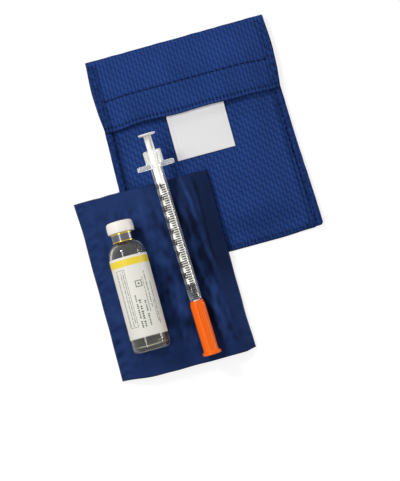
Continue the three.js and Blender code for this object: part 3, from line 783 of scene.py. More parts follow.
def rounded(profile):
    """Profile points with a fillet where a third value asks for one: (radius out, place along, fillet)."""
    points = []
    count = len(profile)
    for index, corner in enumerate(profile):
        here = Vector(corner[:2])
        fillet = corner[2] if len(corner) > 2 else 0.0
        if not fillet or index in (0, count - 1):
            points.append(here)
            continue
        before = (Vector(profile[index - 1][:2]) - here).normalized()
        after = (Vector(profile[index + 1][:2]) - here).normalized()
        start, end = here + before * fillet, here + after * fillet
        for step in range(FILLET_STEPS + 1):
            share = step / FILLET_STEPS
            points.append(start * (1 - share) ** 2 + here * 2 * share * (1 - share) + end * share**2)
    return points


def turned(name, material, profile, place, steps=TURN_STEPS, ring=False):
    """A piece spun about its own Y from (radius, along, fillet) points, then put in its place."""
    points = rounded(profile)
    bm = bmesh.new()
    corners = [bm.verts.new((point.x, point.y, 0)) for point in points]
    pairs = list(zip(corners, corners[1:]))
    if ring:
        pairs.append((corners[-1], corners[0]))
    edges = [bm.edges.new(pair) for pair in pairs]
    bmesh.ops.spin(
        bm, geom=corners + edges, cent=(0, 0, 0), axis=(0, 1, 0), angle=TURN, steps=steps, use_merge=True
    )
    bmesh.ops.remove_doubles(bm, verts=bm.verts, dist=WELD)
    bmesh.ops.recalc_face_normals(bm, faces=bm.faces)
    if bm.calc_volume(signed=True) < 0:
        bmesh.ops.reverse_faces(bm, faces=bm.faces)
    bmesh.ops.transform(bm, matrix=place, verts=bm.verts)
    return to_object(bm, name, material)


def block(name, material, low, high, place, bevel):
    """A box between two corners with softened edges, put in its place."""
    low, high = Vector(low), Vector(high)
    bm = bmesh.new()
    size = Matrix.Diagonal((*(high - low), 1))
    bmesh.ops.create_cube(bm, size=1, matrix=Matrix.Translation((low + high) / 2) @ size)
    round_off(bm, bm.edges, bevel, 2)
    bmesh.ops.transform(bm, matrix=place, verts=bm.verts)
    return to_object(bm, name, material)


class Measured:
    """A CAD node's corners measured about an axis: how far along it and how far out they lie."""

    def __init__(self, node, place):
        back = place.inverted()
        corners = [back @ vertex.co for vertex in frame["nodes"][node].data.vertices]
        self.along = np.array([corner.y for corner in corners])
        self.out = np.array([math.hypot(corner.x, corner.z) for corner in corners])

    def span(self, shadowed=0.0):
        """The lowest and highest place along the axis of the corners beyond a radius."""
        chosen = self.along[self.out >= shadowed]
        return float(chosen.min()), float(chosen.max())

    def reach(self, low=-1.0, high=1.0):
        """The largest radius of the corners between two places along the axis."""
        chosen = self.out[(self.along >= low) & (self.along <= high)]
        return float(chosen.max())

    def reach_at(self, place):
        """The largest radius of the corners at one place along the axis."""
        return self.reach(place - WELD, place + WELD)


# Cover


class OBJECT_OT_case_cover(bpy.types.Operator):
    """Makes the cover's back and front cloth, its side bindings and their stitches"""

    bl_idname = "object.case_cover"
    bl_label = "Cover"

    fabric = 0.0009
    bottom_sag = 0.0007
    mouth_hem = 0.0055
    tape_inner = 0.0049
    tape_width = 0.0046
    tape_wall = 0.0005
    tape_flare = 0.0008
    tape_seam = 0.0037

    def execute(self, context):
        body_cloth = ribbed_material("cover_cloth", lean=-0.4, cut=0.75, dots_share=0.45)
        self.make_back(body_cloth)
        self.make_front(body_cloth)
        self.make_bindings()
        return {"FINISHED"}

    def make_back(self, material):
        wear_size, wear_height = 0.02, 0.00006
        rim_run = 0.003
        back = Cloth("cover_back_panel", COVER_GRID, reach=COVER_GRID)
        back.z += wear_height * back.ripple(wear_size, wear_size, seed=3.1)
        # Painted shade, darker towards the rim.
        back.shade = 0.92 + 0.08 * rise(back.from_edge, 0, rim_run)
        piece = back.make("cover_back_cloth", material, self.fabric - WALL_TRIM)
        place_piece(piece, "cover", "cover_cloth", "cover_back_panel")

    def make_front(self, material):
        """The front cloth swells over its pocket, and is gathered and turned under along the bottom."""
        swell_height, swell_across, swell_along = 0.00035, 0.021, 0.03
        side_margin, side_run, low_run = 0.004, 0.01, 0.008
        wander_across, wander_along = 0.006, 0.01
        gather_place, gather_reach, gather_depth = 0.0018, 0.0026, 0.00045
        groove_reach = 0.0012
        hem_reach, hem_depth = 0.0007, 0.00025
        roll_drop, roll_radius = 0.0013, 0.0016
        sag_run, sag_side_run = 0.03, 0.02
        front = Cloth("cover_front_panel", COVER_GRID)
        inside = rise(front.from_side, side_margin, side_run) * rise(front.from_low, 0, low_run)
        front.z += swell_height * front.ripple(swell_across, swell_along, seed=7.3) * inside
        wander = 2.2 * front.ripple(wander_across, wander_along, seed=1.7)
        gathers = front.gathers(look().cover.rib_pitch, wander)
        # Painted shade in the gathers, along each tape's inner edge and in the hem's groove.
        front.press(gathers * line(front.from_low - gather_place, gather_reach), gather_depth, 0.62)
        front.press(line(front.from_side - self.tape_inner, groove_reach), 0, 0.4)
        front.press(line(front.from_high - self.mouth_hem, hem_reach), hem_depth, 0.3)
        front.roll_down(front.from_low, roll_drop, roll_radius)
        front.y -= self.bottom_sag * fall(front.from_low, 0, sag_run) * rise(front.from_side, 0, sag_side_run)
        piece = front.make("cover_front_cloth", material, self.fabric)
        place_piece(piece, "cover", "cover_cloth", "cover_front_panel")

    def make_bindings(self):
        """A tape folded round each side's edges, sewn along its inner edge."""
        margin_share, places_along = 0.01, 60
        lift = 0.00003
        ridge = look().cover.binding_colour
        material = ribbed_material("binding_tape", lean=0.1, cut=0.7, dots_share=0.7, ridge=ridge)
        thread = thread_material()
        for name, side in (("left", -1), ("right", 1)):
            node = "cover_side_binding_" + name
            piece = self.tape(node, side, material)
            place_piece(piece, "cover", "binding_tape", node)
            shell = Shell(node)
            places = []
            for share in np.linspace(margin_share, 1 - margin_share, places_along):
                y = shell.low.y + (shell.high.y - shell.low.y) * share
                left, right = shell.sides(y)
                edge = left + self.tape_seam if side < 0 else right - self.tape_seam
                places.append((edge, y))
            run = laid_on(surface_tree(piece), places, lift)
            stitches = sewn_line("binding_stitches_" + name, run, thread)
            place_piece(stitches, "cover", "binding_tape")

    def tape_section(self, height):
        """The tape from its upper inner edge round the outside to its lower one: (inward, up)."""
        turns, places_round = 10, 34
        lip_drop, lip_run, lip_slope, round_inset = 0.00045, 0.0007, 0.00005, 0.0002
        top_run, under_run, straight_part = 0.0016, 0.001, 0.0005
        width = self.tape_width
        radius = height / 2 - round_inset
        section = [(width, height - lip_drop), (width - lip_run, height - lip_slope)]
        section += [(width - top_run, height), (radius + straight_part, height)]
        for step in range(turns + 1):
            angle = math.pi * step / turns
            section.append((radius - radius * math.sin(angle), height / 2 + height / 2 * math.cos(angle)))
        section += [(radius + straight_part, 0), (width - under_run, 0), (width, 0)]
        section = np.array(section)
        run = np.concatenate([[0], np.cumsum(np.hypot(*np.diff(section, axis=0).T))])
        around = np.linspace(0, run[-1], places_round)
        inward, up = section.T
        return [(np.interp(place, run, inward), np.interp(place, run, up)) for place in around]

    def tape(self, node, side, material):
        """One side's tape, which runs on past the cover's bottom and is cut back at its corner."""
        bottom_reach, corner_cut, corner_share = 0.0045, 0.0012, 0.12
        flare_run = 0.05
        wave_height, wave_across, wave_along = 0.00012, 0.003, 0.0045
        mottle_size = 0.0016
        seam_place, seam_reach = 0.0008, 0.0009
        shell = Shell(node)
        low, high = shell.low, shell.high
        height = high.z - low.z
        section = self.tape_section(height)
        rows = round((high.y - low.y + bottom_reach) / COVER_GRID)
        bm, layer = cloth_grid(len(section) - 1, rows - 1)
        vertices = iter(bm.verts)
        slope = (shell.rights[0] - shell.rights[-1]) / (shell.rows[-1] - shell.rows[0])
        for y in np.linspace(low.y - bottom_reach, high.y, rows):
            left, right = shell.sides(y)
            below = max(low.y - y, 0.0)
            cut = corner_cut * float(rise(below, bottom_reach - corner_cut, corner_cut))
            flare = self.tape_flare * (1 - float(rise(y, low.y, flare_run)))
            outer = (right if side > 0 else -left) + slope * below + flare - cut
            drawn_in = 1 - corner_share * cut / corner_cut
            for reach, z in section:
                vertex = next(vertices)
                wave = wave_height * noise.noise(Vector((reach / wave_across, y / wave_along, side)))
                vertex.co = (side * (outer - reach * drawn_in + wave), y, low.z + z + wave)
                mottled = noise.noise(Vector((reach / mottle_size, y / mottle_size, 5 + side)))
                from_seam = reach - self.tape_width + seam_place
                seam_shade = float(line(from_seam, seam_reach)) if z > height / 2 else 0.0
                # Random mottled tone, and painted shade along the inner seam.
                vertex[layer] = 0.86 + 0.55 * mottled - 0.4 * seam_shade
        if side < 0:
            bmesh.ops.reverse_faces(bm, faces=bm.faces)
        piece = to_object(bm, node.replace("cover_", "") + "_tape", material)
        add_thickness(piece, self.tape_wall - WALL_TRIM)
        return piece


# Flap


class OBJECT_OT_case_flap(bpy.types.Operator):
    """Makes the flap with its hems and seam, the fold that carries it, and the woven label"""

    bl_idname = "object.case_flap"
    bl_label = "Flap"

    fabric = 0.0009
    dip_left = 0.0018
    dip_right = 0.0009

    def execute(self, context):
        cloth = ribbed_material("flap_cloth", lean=-0.3, cut=0.45, dots_share=0.3)
        self.seam_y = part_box("flap_fold")[1].y - look().cover.seam_drop
        flap = self.make_flap(cloth)
        self.make_seam(flap)
        self.make_fold()
        self.make_label()
        return {"FINISHED"}

    def make_flap(self, material):
        roll_drop, roll_radius, edge_shade_run = 0.0009, 0.0008, 0.0009
        flap = Cloth("flap_panel", FLAP_GRID)
        self.add_side_hems(flap)
        self.add_seam_line(flap)
        self.add_lower_edge(flap)
        flap.roll_down(flap.from_low, roll_drop, roll_radius)
        flap.roll_down(flap.from_side, roll_drop, roll_radius)
        # Painted shade along the rolled sides.
        flap.press(fall(flap.from_side, 0, edge_shade_run), 0, 0.3)
        self.shape_outline(flap)
        piece = flap.make("flap_cloth_panel", material, self.fabric - WALL_TRIM)
        place_piece(piece, "flap", "cover_cloth", "flap_panel")
        return piece

    def add_side_hems(self, flap):
        """The cloth swells between its turned side hems, which are dented by their thread, with painted shade
        in the dents and in the groove beside them.
        """
        swell_height, swell_across, swell_along, swell_run = 0.0003, 0.018, 0.014, 0.012
        hem_start, hem_run, hem_height = 0.0008, 0.0012, 0.00016
        groove_place, groove_reach, groove_depth = 0.0004, 0.0008, 0.0003
        mottle_size, dent_depth = 0.0021, 0.00014
        hem = look().cover.hem_width
        crown = rise(flap.from_side, hem, swell_run)
        flap.z += swell_height * flap.ripple(swell_across, swell_along, seed=4.4) * crown
        side_hem = fall(flap.from_side, hem - hem_start, hem_run)
        groove = line(flap.from_side - hem - groove_place, groove_reach)
        dents = crease(flap.x / mottle_size, flap.y / mottle_size, 8.8)
        flap.z = flap.z + side_hem * (hem_height - dent_depth * dents) - groove_depth * groove
        # Painted shade on the hems, deepest in their dents, and in the groove beside them.
        flap.shade = 1 - side_hem * (0.04 + 0.5 * dents) - 0.25 * groove

    def add_seam_line(self, flap):
        """The long seam's groove, drawn in at each stitch, and the step down to the cloth above it."""
        side_margin, side_run = 0.003, 0.003
        seam_reach, seam_depth = 0.0009, 0.0004
        step_height, step_run = 0.00022, 0.0016
        cover = look().cover
        seam = line(flap.y - self.seam_y, seam_reach) * rise(flap.from_side, side_margin, side_run)
        tucks = 0.75 + 0.25 * np.sin(TURN * flap.x / (cover.stitch_length + cover.stitch_gap))
        # Painted shade in the seam's groove.
        flap.press(seam * tucks, seam_depth, 0.62)
        flap.z += step_height * rise(self.seam_y - flap.y, 0, step_run)

    def add_lower_edge(self, flap):
        """Gathers along the lower edge, and the turned edge's round below them."""
        wander_across, wander_along = 0.006, 0.02
        gather_place, gather_reach, gather_depth = 0.0021, 0.0017, 0.0005
        above_place, above_reach, above_depth = 0.003, 0.0042, 0.0002
        round_place, round_reach, round_height = 0.0006, 0.0010, 0.0002
        wander = 2.4 * flap.ripple(wander_across, wander_along, seed=2.9)
        gathers = flap.gathers(look().cover.rib_pitch, wander)
        # Painted shade in the gathers, and a painted highlight on the turned edge's round.
        flap.press(gathers * line(flap.from_low - gather_place, gather_reach), gather_depth, 0.6)
        flap.press(gathers * line(flap.from_low - above_place, above_reach), above_depth)
        flap.press(line(flap.from_low - round_place, round_reach), -round_height, -0.08)

    def shape_outline(self, flap):
        """The lower edge bows a little, and the fold's top edge dips towards the left."""
        edge_run = 0.01
        bow, bow_x, bow_reach = 0.0004, -0.028, 0.018
        wave_depth, wave_pitch = 0.0002, 0.031
        low, high = flap.shell.low, flap.shell.high
        wave = wave_depth * np.sin(TURN * flap.x / wave_pitch)
        flap.y += fall(flap.from_low, 0, edge_run) * (bow * line(flap.x - bow_x, bow_reach) + wave)
        flap.y -= self.dip(flap.x, low.x, high.x) * rise(flap.y, self.seam_y, high.y - self.seam_y)

    def dip(self, x, left, right):
        """How far the fold's top edge lies below a straight line across the cover."""
        return self.dip_left + (self.dip_right - self.dip_left) * (x - left) / (right - left)

    def make_seam(self, flap):
        """The long seam across the flap, which sews its turned edge and the hook strip on."""
        margin, lift, places_along = 0.004, 0.00004, 120
        low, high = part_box("flap_panel")
        run = straight((low.x + margin, self.seam_y), (high.x - margin, self.seam_y), places_along)
        stitches = sewn_line("flap_seam_stitches", laid_on(surface_tree(flap), run, lift), thread_material())
        place_piece(stitches, "flap", "cover_cloth")

    def make_fold(self):
        """Half a round of cloth from the back panel up to the flap."""
        turns, lap = 18, 0.0004
        wave_height, wave_size = 0.00014, 0.004
        material = ribbed_material("fold_cloth", lean=-0.3, cut=0.45, dots_share=0.3, kind="UV")
        low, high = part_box("flap_fold")
        columns = round((high.x - low.x) / (2 * FLAP_GRID))
        middle = (low.z + high.z) / 2
        half = (high.z - low.z) / 2
        start_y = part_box("flap_panel")[1].y - lap
        depth = high.y - start_y
        bm, shade_layer = cloth_grid(columns, turns)
        uv_layer = bm.loops.layers.uv.new("cloth")
        run = {}
        for index, vertex in enumerate(bm.verts):
            turn, column = divmod(index, columns + 1)
            angle = math.pi * (turn / turns - 0.5)
            x = low.x + (high.x - low.x) * column / columns
            wave = wave_height * noise.noise(Vector((x / wave_size, turn / turns, 6.1)))
            y = start_y + depth * math.cos(angle) + wave * math.cos(angle) - self.dip(x, low.x, high.x)
            vertex.co = (x, y, middle + half * math.sin(angle))
            # Painted shade, darker towards the outermost part of the round.
            vertex[shade_layer] = 1 - 0.4 * math.cos(angle) ** 6
            run[vertex] = (x, high.y - half * angle)
        for face in bm.faces:
            for loop in face.loops:
                loop[uv_layer].uv = run[loop.vert]
        bm.normal_update()
        bm.faces.ensure_lookup_table()
        if bm.faces[0].normal.z > 0:
            bmesh.ops.reverse_faces(bm, faces=bm.faces)
        piece = to_object(bm, "flap_fold_cloth", material)
        add_thickness(piece, self.fabric - WALL_TRIM)
        bake(piece)
        place_piece(piece, None, "cover_cloth", "flap_fold")
        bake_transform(piece)

    def make_label(self):
        """A bare white woven label that hangs from under the flap's edge."""
        grid, softening = 0.0004, 0.0011
        thickness, rim = 0.0003, 0.00008
        ridge_height = 0.00005
        selvedge_place, selvedge_reach = 0.0008, 0.0009
        fold_place = fold_reach = 0.0012
        wave_height, wave_across, wave_along = 0.00012, 0.014, 0.012
        groove_place, groove_reach, rim_run = 0.0018, 0.0007, 0.0006
        weave = {"thread": 0.00036, "relief": 0.00006, "roughness": 0.75, "sheen": 0.03, "amount": 0.05}
        material = woven_material("woven_label", look().cover.label_colour, **weave, Specular_IOR_Level=0.1)
        label = Cloth("woven_label", grid, reach=softening)
        label.z += ridge_height * line(label.from_side - selvedge_place, selvedge_reach)
        label.z += wave_height * label.ripple(wave_across, wave_along, seed=9.5)
        label.z += ridge_height * line(label.from_low - fold_place, fold_reach)
        groove = line(label.from_side - groove_place, groove_reach)
        # Painted shade in the groove beside each selvedge and along the rim.
        label.shade = 1 - 0.04 * groove - 0.05 * fall(label.from_edge, 0, rim_run)
        piece = label.make("woven_label_cloth", material, thickness, rim)
        place_piece(piece, "flap", "label_cloth", "woven_label")


# Closure


class OBJECT_OT_case_closure(bpy.types.Operator):
    """Makes the hook strip inside the flap and the loop strip on the front cloth"""

    bl_idname = "object.case_closure"
    bl_label = "Closure"

    hook_pitch = 0.0015
    hook_height = 0.00045
    hook_foot = 0.00022
    hook_tip = 0.0001

    def execute(self, context):
        self.make_loops()
        self.make_hooks()
        return {"FINISHED"}

    def tape(self, name, **weave):
        return woven_material(name, look().cover.tape_colour, **weave, Specular_IOR_Level=0.1)

    def make_loops(self):
        """The loop strip's face is fuzzy, and lower than the flap's hooks."""
        grid = softening = 0.0005
        fuzz_size, fuzz_height, fuzz_start, fuzz_run = 0.0009, 0.00016, 0.0008, 0.0015
        sink, roll_drop, roll_radius = 0.0001, 0.0003, 0.0006
        thickness = 0.0004
        weave = {"thread": 0.0004, "relief": 0.0003, "roughness": 0.95, "sheen": 0.04, "amount": 0.5}
        loops = Cloth("closure_loop_strip", grid, reach=softening)
        fuzz = loops.ripple(fuzz_size, fuzz_size, seed=3.3) * rise(loops.from_edge, fuzz_start, fuzz_run)
        loops.z = loops.z + fuzz_height * fuzz - sink
        loops.roll_down(loops.from_edge, roll_drop, roll_radius)
        piece = loops.make("loop_strip", self.tape("closure_loops", **weave), thickness, None)
        place_piece(piece, "cover", "closure_tape", "closure_loop_strip")

    def make_hooks(self):
        """The hook strip's tape, and rows of short hooks under it that narrow downwards."""
        grid, softening, thickness = 0.001, 0.0005, 0.00025
        margin, sink = 0.0012, 0.0002
        weave = {"thread": 0.0005, "relief": 0.0002, "roughness": 0.7, "sheen": 0.02, "amount": 0.3}
        base = Cloth("closure_hook_strip", grid, reach=softening)
        material = self.tape("closure_hooks", **weave)
        piece = base.make("hook_strip", material, thickness)
        place_piece(piece, "flap", "closure_tape", "closure_hook_strip")
        low, high = base.shell.low, base.shell.high
        hook = {"cap_ends": True, "segments": 6, "radius1": self.hook_tip, "radius2": self.hook_foot}
        middle = high.z - sink - self.hook_height / 2
        bm = bmesh.new()
        for x in np.arange(low.x + margin, high.x - margin, self.hook_pitch):
            for y in np.arange(low.y + margin, high.y - margin, self.hook_pitch):
                centre = Matrix.Translation((x, y, middle))
                bmesh.ops.create_cone(bm, depth=self.hook_height, matrix=centre, **hook)
        piece = to_object(bm, "closure_hooks_rows", material)
        place_piece(piece, "flap", "closure_tape")


# Pouch


class OBJECT_OT_case_pouch(bpy.types.Operator):
    """Makes the cooling pouch's four cloths, its seams and its crystal beds"""

    bl_idname = "object.case_pouch"
    bl_label = "Cooling pouch"

    fabric = 0.0004
    outer_trim = 0.00005
    softening = 0.003
    seam_inset = 0.0011
    seam_gap = 0.00005
    lining_inset = 0.0024
    mouth_sag = 0.0012
    corner_spread = 0.0007
    top_rise = 0.0009
    press_in = 0.00022
    channels = 4
    grain_share = 0.7
    grain_shift_share = 0.15
    grain_half_shares = (0.42, 0.54)

    def execute(self, context):
        pouch = look().pouch
        satin = {"thread": 0.00028, "relief": 0.00004, "roughness": 0.5, "sheen": 0.01, "amount": 0.5}
        plain = {"thread": 0.0003, "relief": 0.00008, "roughness": 0.75, "sheen": 0.1, "amount": 0.3}
        outer = woven_material("pouch_cloth", pouch.cloth_colour, **satin, Specular_IOR_Level=0.035)
        inner = woven_material("pouch_lining", pouch.lining_colour, **plain)
        self.make_front(outer)
        self.make_back(outer)
        self.make_linings(inner)
        self.make_crystals()
        return {"FINISHED"}

    def make_front(self, material):
        """The top cloth comes down on the back cloth along its sewn edges, and turns under at its mouth."""
        mouth_drop, mouth_radius = 0.0006, 0.0007
        cloth = Cloth("pouch_front_outer", POUCH_GRID, reach=self.softening)
        self.shape_front(cloth)
        cloth.z = np.maximum(cloth.z, cloth.shell.heights(cloth.x, cloth.y) - self.press_in)
        under = soften(Shell("pouch_back_outer").heights(cloth.x, cloth.y), POUCH_GRID, self.softening)
        drop = np.maximum(cloth.z - under - self.seam_gap, 0)
        cloth.roll_down(np.minimum(cloth.from_side, cloth.from_high), drop, self.seam_inset)
        cloth.roll_down(cloth.from_low, mouth_drop, mouth_radius)
        cloth.z = np.maximum(cloth.z, under + self.seam_gap)
        self.shape_outline(cloth)
        piece = cloth.make("pouch_front_cloth", material, self.fabric - self.outer_trim, None)
        self.front_top = surface_tree(piece)
        place_piece(piece, "pouch", "pouch_cloth", "pouch_front_outer")

    def shape_front(self, cloth):
        """Puckers at the sewn edges, long soft folds, a flat band at the right, and painted light and shade
        on the cloth.
        """
        inside_start, inside_run = 0.002, 0.012
        broad_across, broad_along, finer_across, finer_along = 0.011, 0.017, 0.005, 0.006
        small_across, small_along = 0.0026, 0.0046
        broad_height, small_height, swell, band_sink = 0.0007, 0.0003, 0.0007, 0.00045
        puckers, pucker_light = self.puckers(cloth)
        folds, crest, groove, band = self.folds(cloth)
        inside = rise(cloth.from_edge, inside_start, inside_run)
        broad = cloth.ripple(broad_across, broad_along, seed=11.0)
        broad = broad + 0.5 * cloth.ripple(finer_across, finer_along, seed=3.0)
        small = ripple((cloth.x - 0.3 * cloth.y) / small_across, (cloth.y + 0.3 * cloth.x) / small_along, 8.0)
        uneven_cloth = (broad_height * broad + small_height * small + swell) * inside
        relief = puckers + look().pouch.fold_height * folds + uneven_cloth
        cloth.z = cloth.z + self.clear_of_load(cloth) * relief - band_sink * band

        # Painted light: a painted shadow right of the syringe, weaker in the lowest part; painted shade in
        # the groove and on the band; a painted highlight on the crest; painted sheen streaks, strongest in
        # that shadow; painted light and shade on the left puckers and small wrinkles; random blotches;
        # painted shade towards the edges.
        shadow_start, shadow_run = 0.014, 0.016
        streak_across, streak_along, blotch_across, blotch_along = 0.0024, 0.009, 0.0062, 0.0085
        selvedge, edge_run = 0.0008, 0.0012
        shadowed = rise(cloth.x, barrel_x(cloth.y) - shadow_start, shadow_run)
        streaks = ripple((cloth.x + 0.12 * cloth.y) / streak_across, cloth.y / streak_along, 4.6)
        blotches = cloth.ripple(blotch_across, blotch_along, seed=9.1)
        cloth.shade = 1.12 - 0.5 * shadowed * (1 - 0.6 * self.lowest_part(cloth)) - 0.4 * groove
        cloth.shade += 0.45 * crest - 0.12 * band * rise(cloth.from_right, selvedge, selvedge)
        painted_light_and_blotches = 1.2 * pucker_light + (0.1 + shadowed) * streaks + 0.5 * blotches + 0.45 * small
        rim_shade = 0.7 + 0.3 * rise(cloth.from_edge, 0, edge_run)
        cloth.shade *= rim_shade * np.maximum(1 + inside * painted_light_and_blotches, 0.4)

    def clear_of_load(self, cloth):
        """0 where the vial or the syringe presses on the cloth, 1 a little away from them."""
        vial_half, vial_run, end_margin, end_run = 0.0065, 0.006, 0.001, 0.005
        barrel_half, barrel_run = 0.0035, 0.004
        low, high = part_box("vial_glass")
        beside = rise(np.abs(cloth.x - (low.x + high.x) / 2), vial_half, vial_run)
        past_end = rise(np.maximum(low.y - cloth.y, cloth.y - high.y), end_margin, end_run)
        beside_barrel = rise(np.abs(cloth.x - barrel_x(cloth.y)), barrel_half, barrel_run)
        return np.maximum(beside, past_end) * beside_barrel

    def lowest_part(self, cloth):
        """1 in the pouch's lowest part, beside the needle's cap."""
        start, run = 0.066, 0.02
        return rise(-cloth.y, start, run)

    def puckers(self, cloth):
        """The height of the puckers that run in from the edges, and the mask for painted light and shade on
        them along the left one.
        """
        left_start, right_start, top_start, mouth_start = 0.0015, 0.001, 0.0012, 0.003
        pouch = look().pouch
        height, pitch, reach = pouch.pucker_height, pouch.pucker_pitch, pouch.pucker_reach
        left = fall(cloth.from_left, left_start, reach)
        right = fall(cloth.from_right, right_start, 0.8 * reach) * self.lowest_part(cloth)
        top = fall(cloth.from_high, top_start, 0.5 * reach)
        mouth = fall(cloth.from_low, mouth_start, reach)
        falling = ripple((cloth.x + 0.5 * cloth.y) / (2.2 * pitch), (cloth.y - 0.5 * cloth.x) / pitch, 1.3)
        rising = ripple((cloth.x - 0.8 * cloth.y) / (2.6 * pitch), (cloth.y + 0.6 * cloth.x) / pitch, 5.9)
        along_edges = left * falling + 0.7 * left * rising + 0.6 * right * rising
        along_edges = along_edges + 0.35 * top * cloth.ripple(pitch, 2 * pitch, seed=2.2)
        along_edges = along_edges + 0.5 * mouth * cloth.ripple(1.6 * pitch, 2 * pitch, seed=6.4)
        return height * along_edges, left * (falling + rising)

    def folds(self, cloth):
        """The long folds' relief, their crest for a painted highlight, the groove at the band's left edge,
        and the band.
        """
        sway_width, sway_length = 0.0004, 0.007
        band_end, band_run, band_edge = 0.056, 0.022, 0.001
        crest_offset, crest_reach, crest_end, crest_run = 0.0046, 0.0022, 0.084, 0.012
        lean, upright_at = 0.116, 0.031
        broad_offset, broad_reach = 0.001, 0.0055
        second_offset, second_reach = 0.0075, 0.004
        upper_offset, upper_reach = 0.0362, 0.0042
        change_at = change_run = 0.03
        groove_reach, groove_start, groove_run = 0.0013, 0.0005, 0.004
        down = -cloth.y
        right = cloth.shell.high.x
        sway = sway_width * np.sin(cloth.y / sway_length)
        band_x = right - look().pouch.band_width
        band_part = fall(down, band_end, band_run)
        from_crest = cloth.x - (band_x - crest_offset + lean * (down - upright_at) + sway)
        crest = line(from_crest, crest_reach) * fall(down, crest_end, crest_run)
        second = line(from_crest + second_offset, second_reach) * rise(down, change_at, change_run)
        upper_left = line(cloth.x - (right - upper_offset), upper_reach) * fall(down, change_at, change_run)
        groove = line(cloth.x - band_x - 0.3 * sway, groove_reach) * band_part
        groove = groove * rise(cloth.from_high, groove_start, groove_run)
        relief = 0.6 * crest + 0.45 * line(from_crest + broad_offset, broad_reach) + 0.5 * second
        relief = relief + 0.45 * upper_left - 0.8 * groove
        return relief, crest * band_part, groove, rise(cloth.x, band_x, band_edge) * band_part

    def shape_outline(self, cloth):
        """The mouth's edge sags between its corners, the top edge is ragged, and the sides waver a little."""
        sag_run, left_run, right_run = 0.04, 0.022, 0.006
        wave_depth, wave_pitch = 0.0003, 0.011
        side_width, side_pitch, corner_run = 0.00028, 0.014, 0.02
        lift_start, lift_run = 0.01, 0.04
        ragged_height, ragged_pitch, ragged_run = 0.00025, 0.004, 0.004
        middle = np.full_like(cloth.x, 0.5)
        wave = wave_depth * ripple(cloth.x / wave_pitch, middle, 4.2)
        corners = 1.5 * fall(cloth.from_left, 0, left_run) + 0.9 * fall(cloth.from_right, 0, right_run)
        cloth.y -= fall(cloth.from_low, 0, sag_run) * (self.mouth_sag * (1 - corners) + wave)
        side = side_width * ripple(middle, cloth.y / side_pitch, 7.7)
        cloth.x += side * fall(cloth.from_side, 0, corner_run)
        lower, upper = fall(cloth.from_low, 0, corner_run), fall(cloth.from_high, 0, corner_run)
        cloth.x += self.corner_spread * lower * fall(cloth.from_right, 0, corner_run)
        ragged = ragged_height * ripple(cloth.x / ragged_pitch, middle, 1.2)
        cloth.y += self.top_rise * upper * fall(cloth.from_left, lift_start, lift_run)
        cloth.y += ragged * fall(cloth.from_high, 0, ragged_run)
        cloth.x -= self.corner_spread * upper * fall(cloth.from_left, 0, corner_run)

    def make_back(self, material):
        mottle_across, mottle_along = 0.01, 0.02
        back = Cloth("pouch_back_outer", 2 * POUCH_GRID, reach=self.softening)
        back.z = np.minimum(back.z, back.shell.heights(back.x, back.y))
        self.shape_outline(back)
        back.shade = 0.94 + 0.06 * back.ripple(mottle_across, mottle_along, seed=2.7)
        piece = back.make("pouch_back_cloth", material, self.fabric - self.outer_trim, None)
        place_piece(piece, "pouch", "pouch_cloth", "pouch_back_outer")

    def under_front(self, x, y):
        """The height just under the front cloth, at its lowest within a step of the lining's grid."""
        steps = [(0, 0), (LINING_GRID, 0), (-LINING_GRID, 0), (0, LINING_GRID), (0, -LINING_GRID)]
        heights = []
        for a, b in zip(x.ravel(), y.ravel()):
            hits = laid_on(self.front_top, [(a + across, b + along) for across, along in steps])
            heights.append(min([hit.z for hit in hits], default=SKY))
        return np.array(heights).reshape(x.shape) - 2 * self.fabric

    def make_linings(self, material):
        """The two inner cloths stop just inside the sewn edges and reach the mouth."""
        for name in ("pouch_back_lining", "pouch_front_lining"):
            lining = Cloth(name, LINING_GRID, self.lining_inset, reach=self.softening)
            lining.z = np.minimum(lining.z, self.under_front(lining.x, lining.y))
            self.shape_outline(lining)
            piece = lining.make(name + "_cloth", material, self.fabric - WALL_TRIM, None)
            place_piece(piece, "pouch", "pouch_cloth", name)

    def make_crystals(self):
        """A bed of loose grains in each channel of the back and of the front."""
        grain = {"roughness": 0.3, "amount": 0.25, "relief": 0.00004, "fine": 1200.0}
        colour_seen = look().pouch.crystal_colour
        material = moulded_material("cooling_crystals", colour_seen, **grain, Transmission_Weight=0.35)
        size = look().pouch.grain_size
        draw = random.Random(11)
        row_mesh = bpy.data.meshes.new("grain_row")
        for side in ("back", "front"):
            for channel in range(1, self.channels + 1):
                node = f"crystal_fill_{side}_{channel}"
                shell = Shell(node)
                bm = bmesh.new()
                for x in np.arange(shell.low.x + size / 2, shell.high.x - size / 2, size):
                    row = bmesh.new()
                    for y in np.arange(shell.low.y + size / 2, shell.high.y - size / 2, size):
                        self.add_grain(row, shell, x, y, size, draw)
                    row.to_mesh(row_mesh)
                    row.free()
                    bm.from_mesh(row_mesh)
                piece = to_object(bm, f"crystal_bed_{side}_{channel}", material, smooth=False)
                place_piece(piece, "pouch", "crystals", node)
        bpy.data.meshes.remove(row_mesh)

    def add_grain(self, bm, shell, x, y, size, draw):
        shift = self.grain_shift_share
        x = x + draw.uniform(-shift, shift) * size
        y = y + draw.uniform(-shift, shift) * size
        top = shell.height(x, y)
        low = shell.height(x, y, False)
        half = self.grain_share * min(top - low, size) / 2
        turn = Matrix.Rotation(draw.uniform(0, TURN), 4, "Z")
        wide, deep = (size * draw.uniform(*self.grain_half_shares) for _ in range(2))
        shape = Matrix.Diagonal((wide, deep, half, 1))
        centre = Matrix.Translation((x, y, low + half))
        bmesh.ops.create_icosphere(bm, subdivisions=1, radius=1, matrix=centre @ turn @ shape)


# Vial


class Turning:
    """For pieces about one axis: measures their CAD nodes from self.place, and turns them round it."""

    def measure(self, node):
        return Measured(node, self.place)

    def turn(self, name, material, profile, body, slot, *nodes, steps=TURN_STEPS, ring=False):
        piece = turned(name, material, profile, self.place, steps, ring)
        place_piece(piece, body, slot, *nodes)


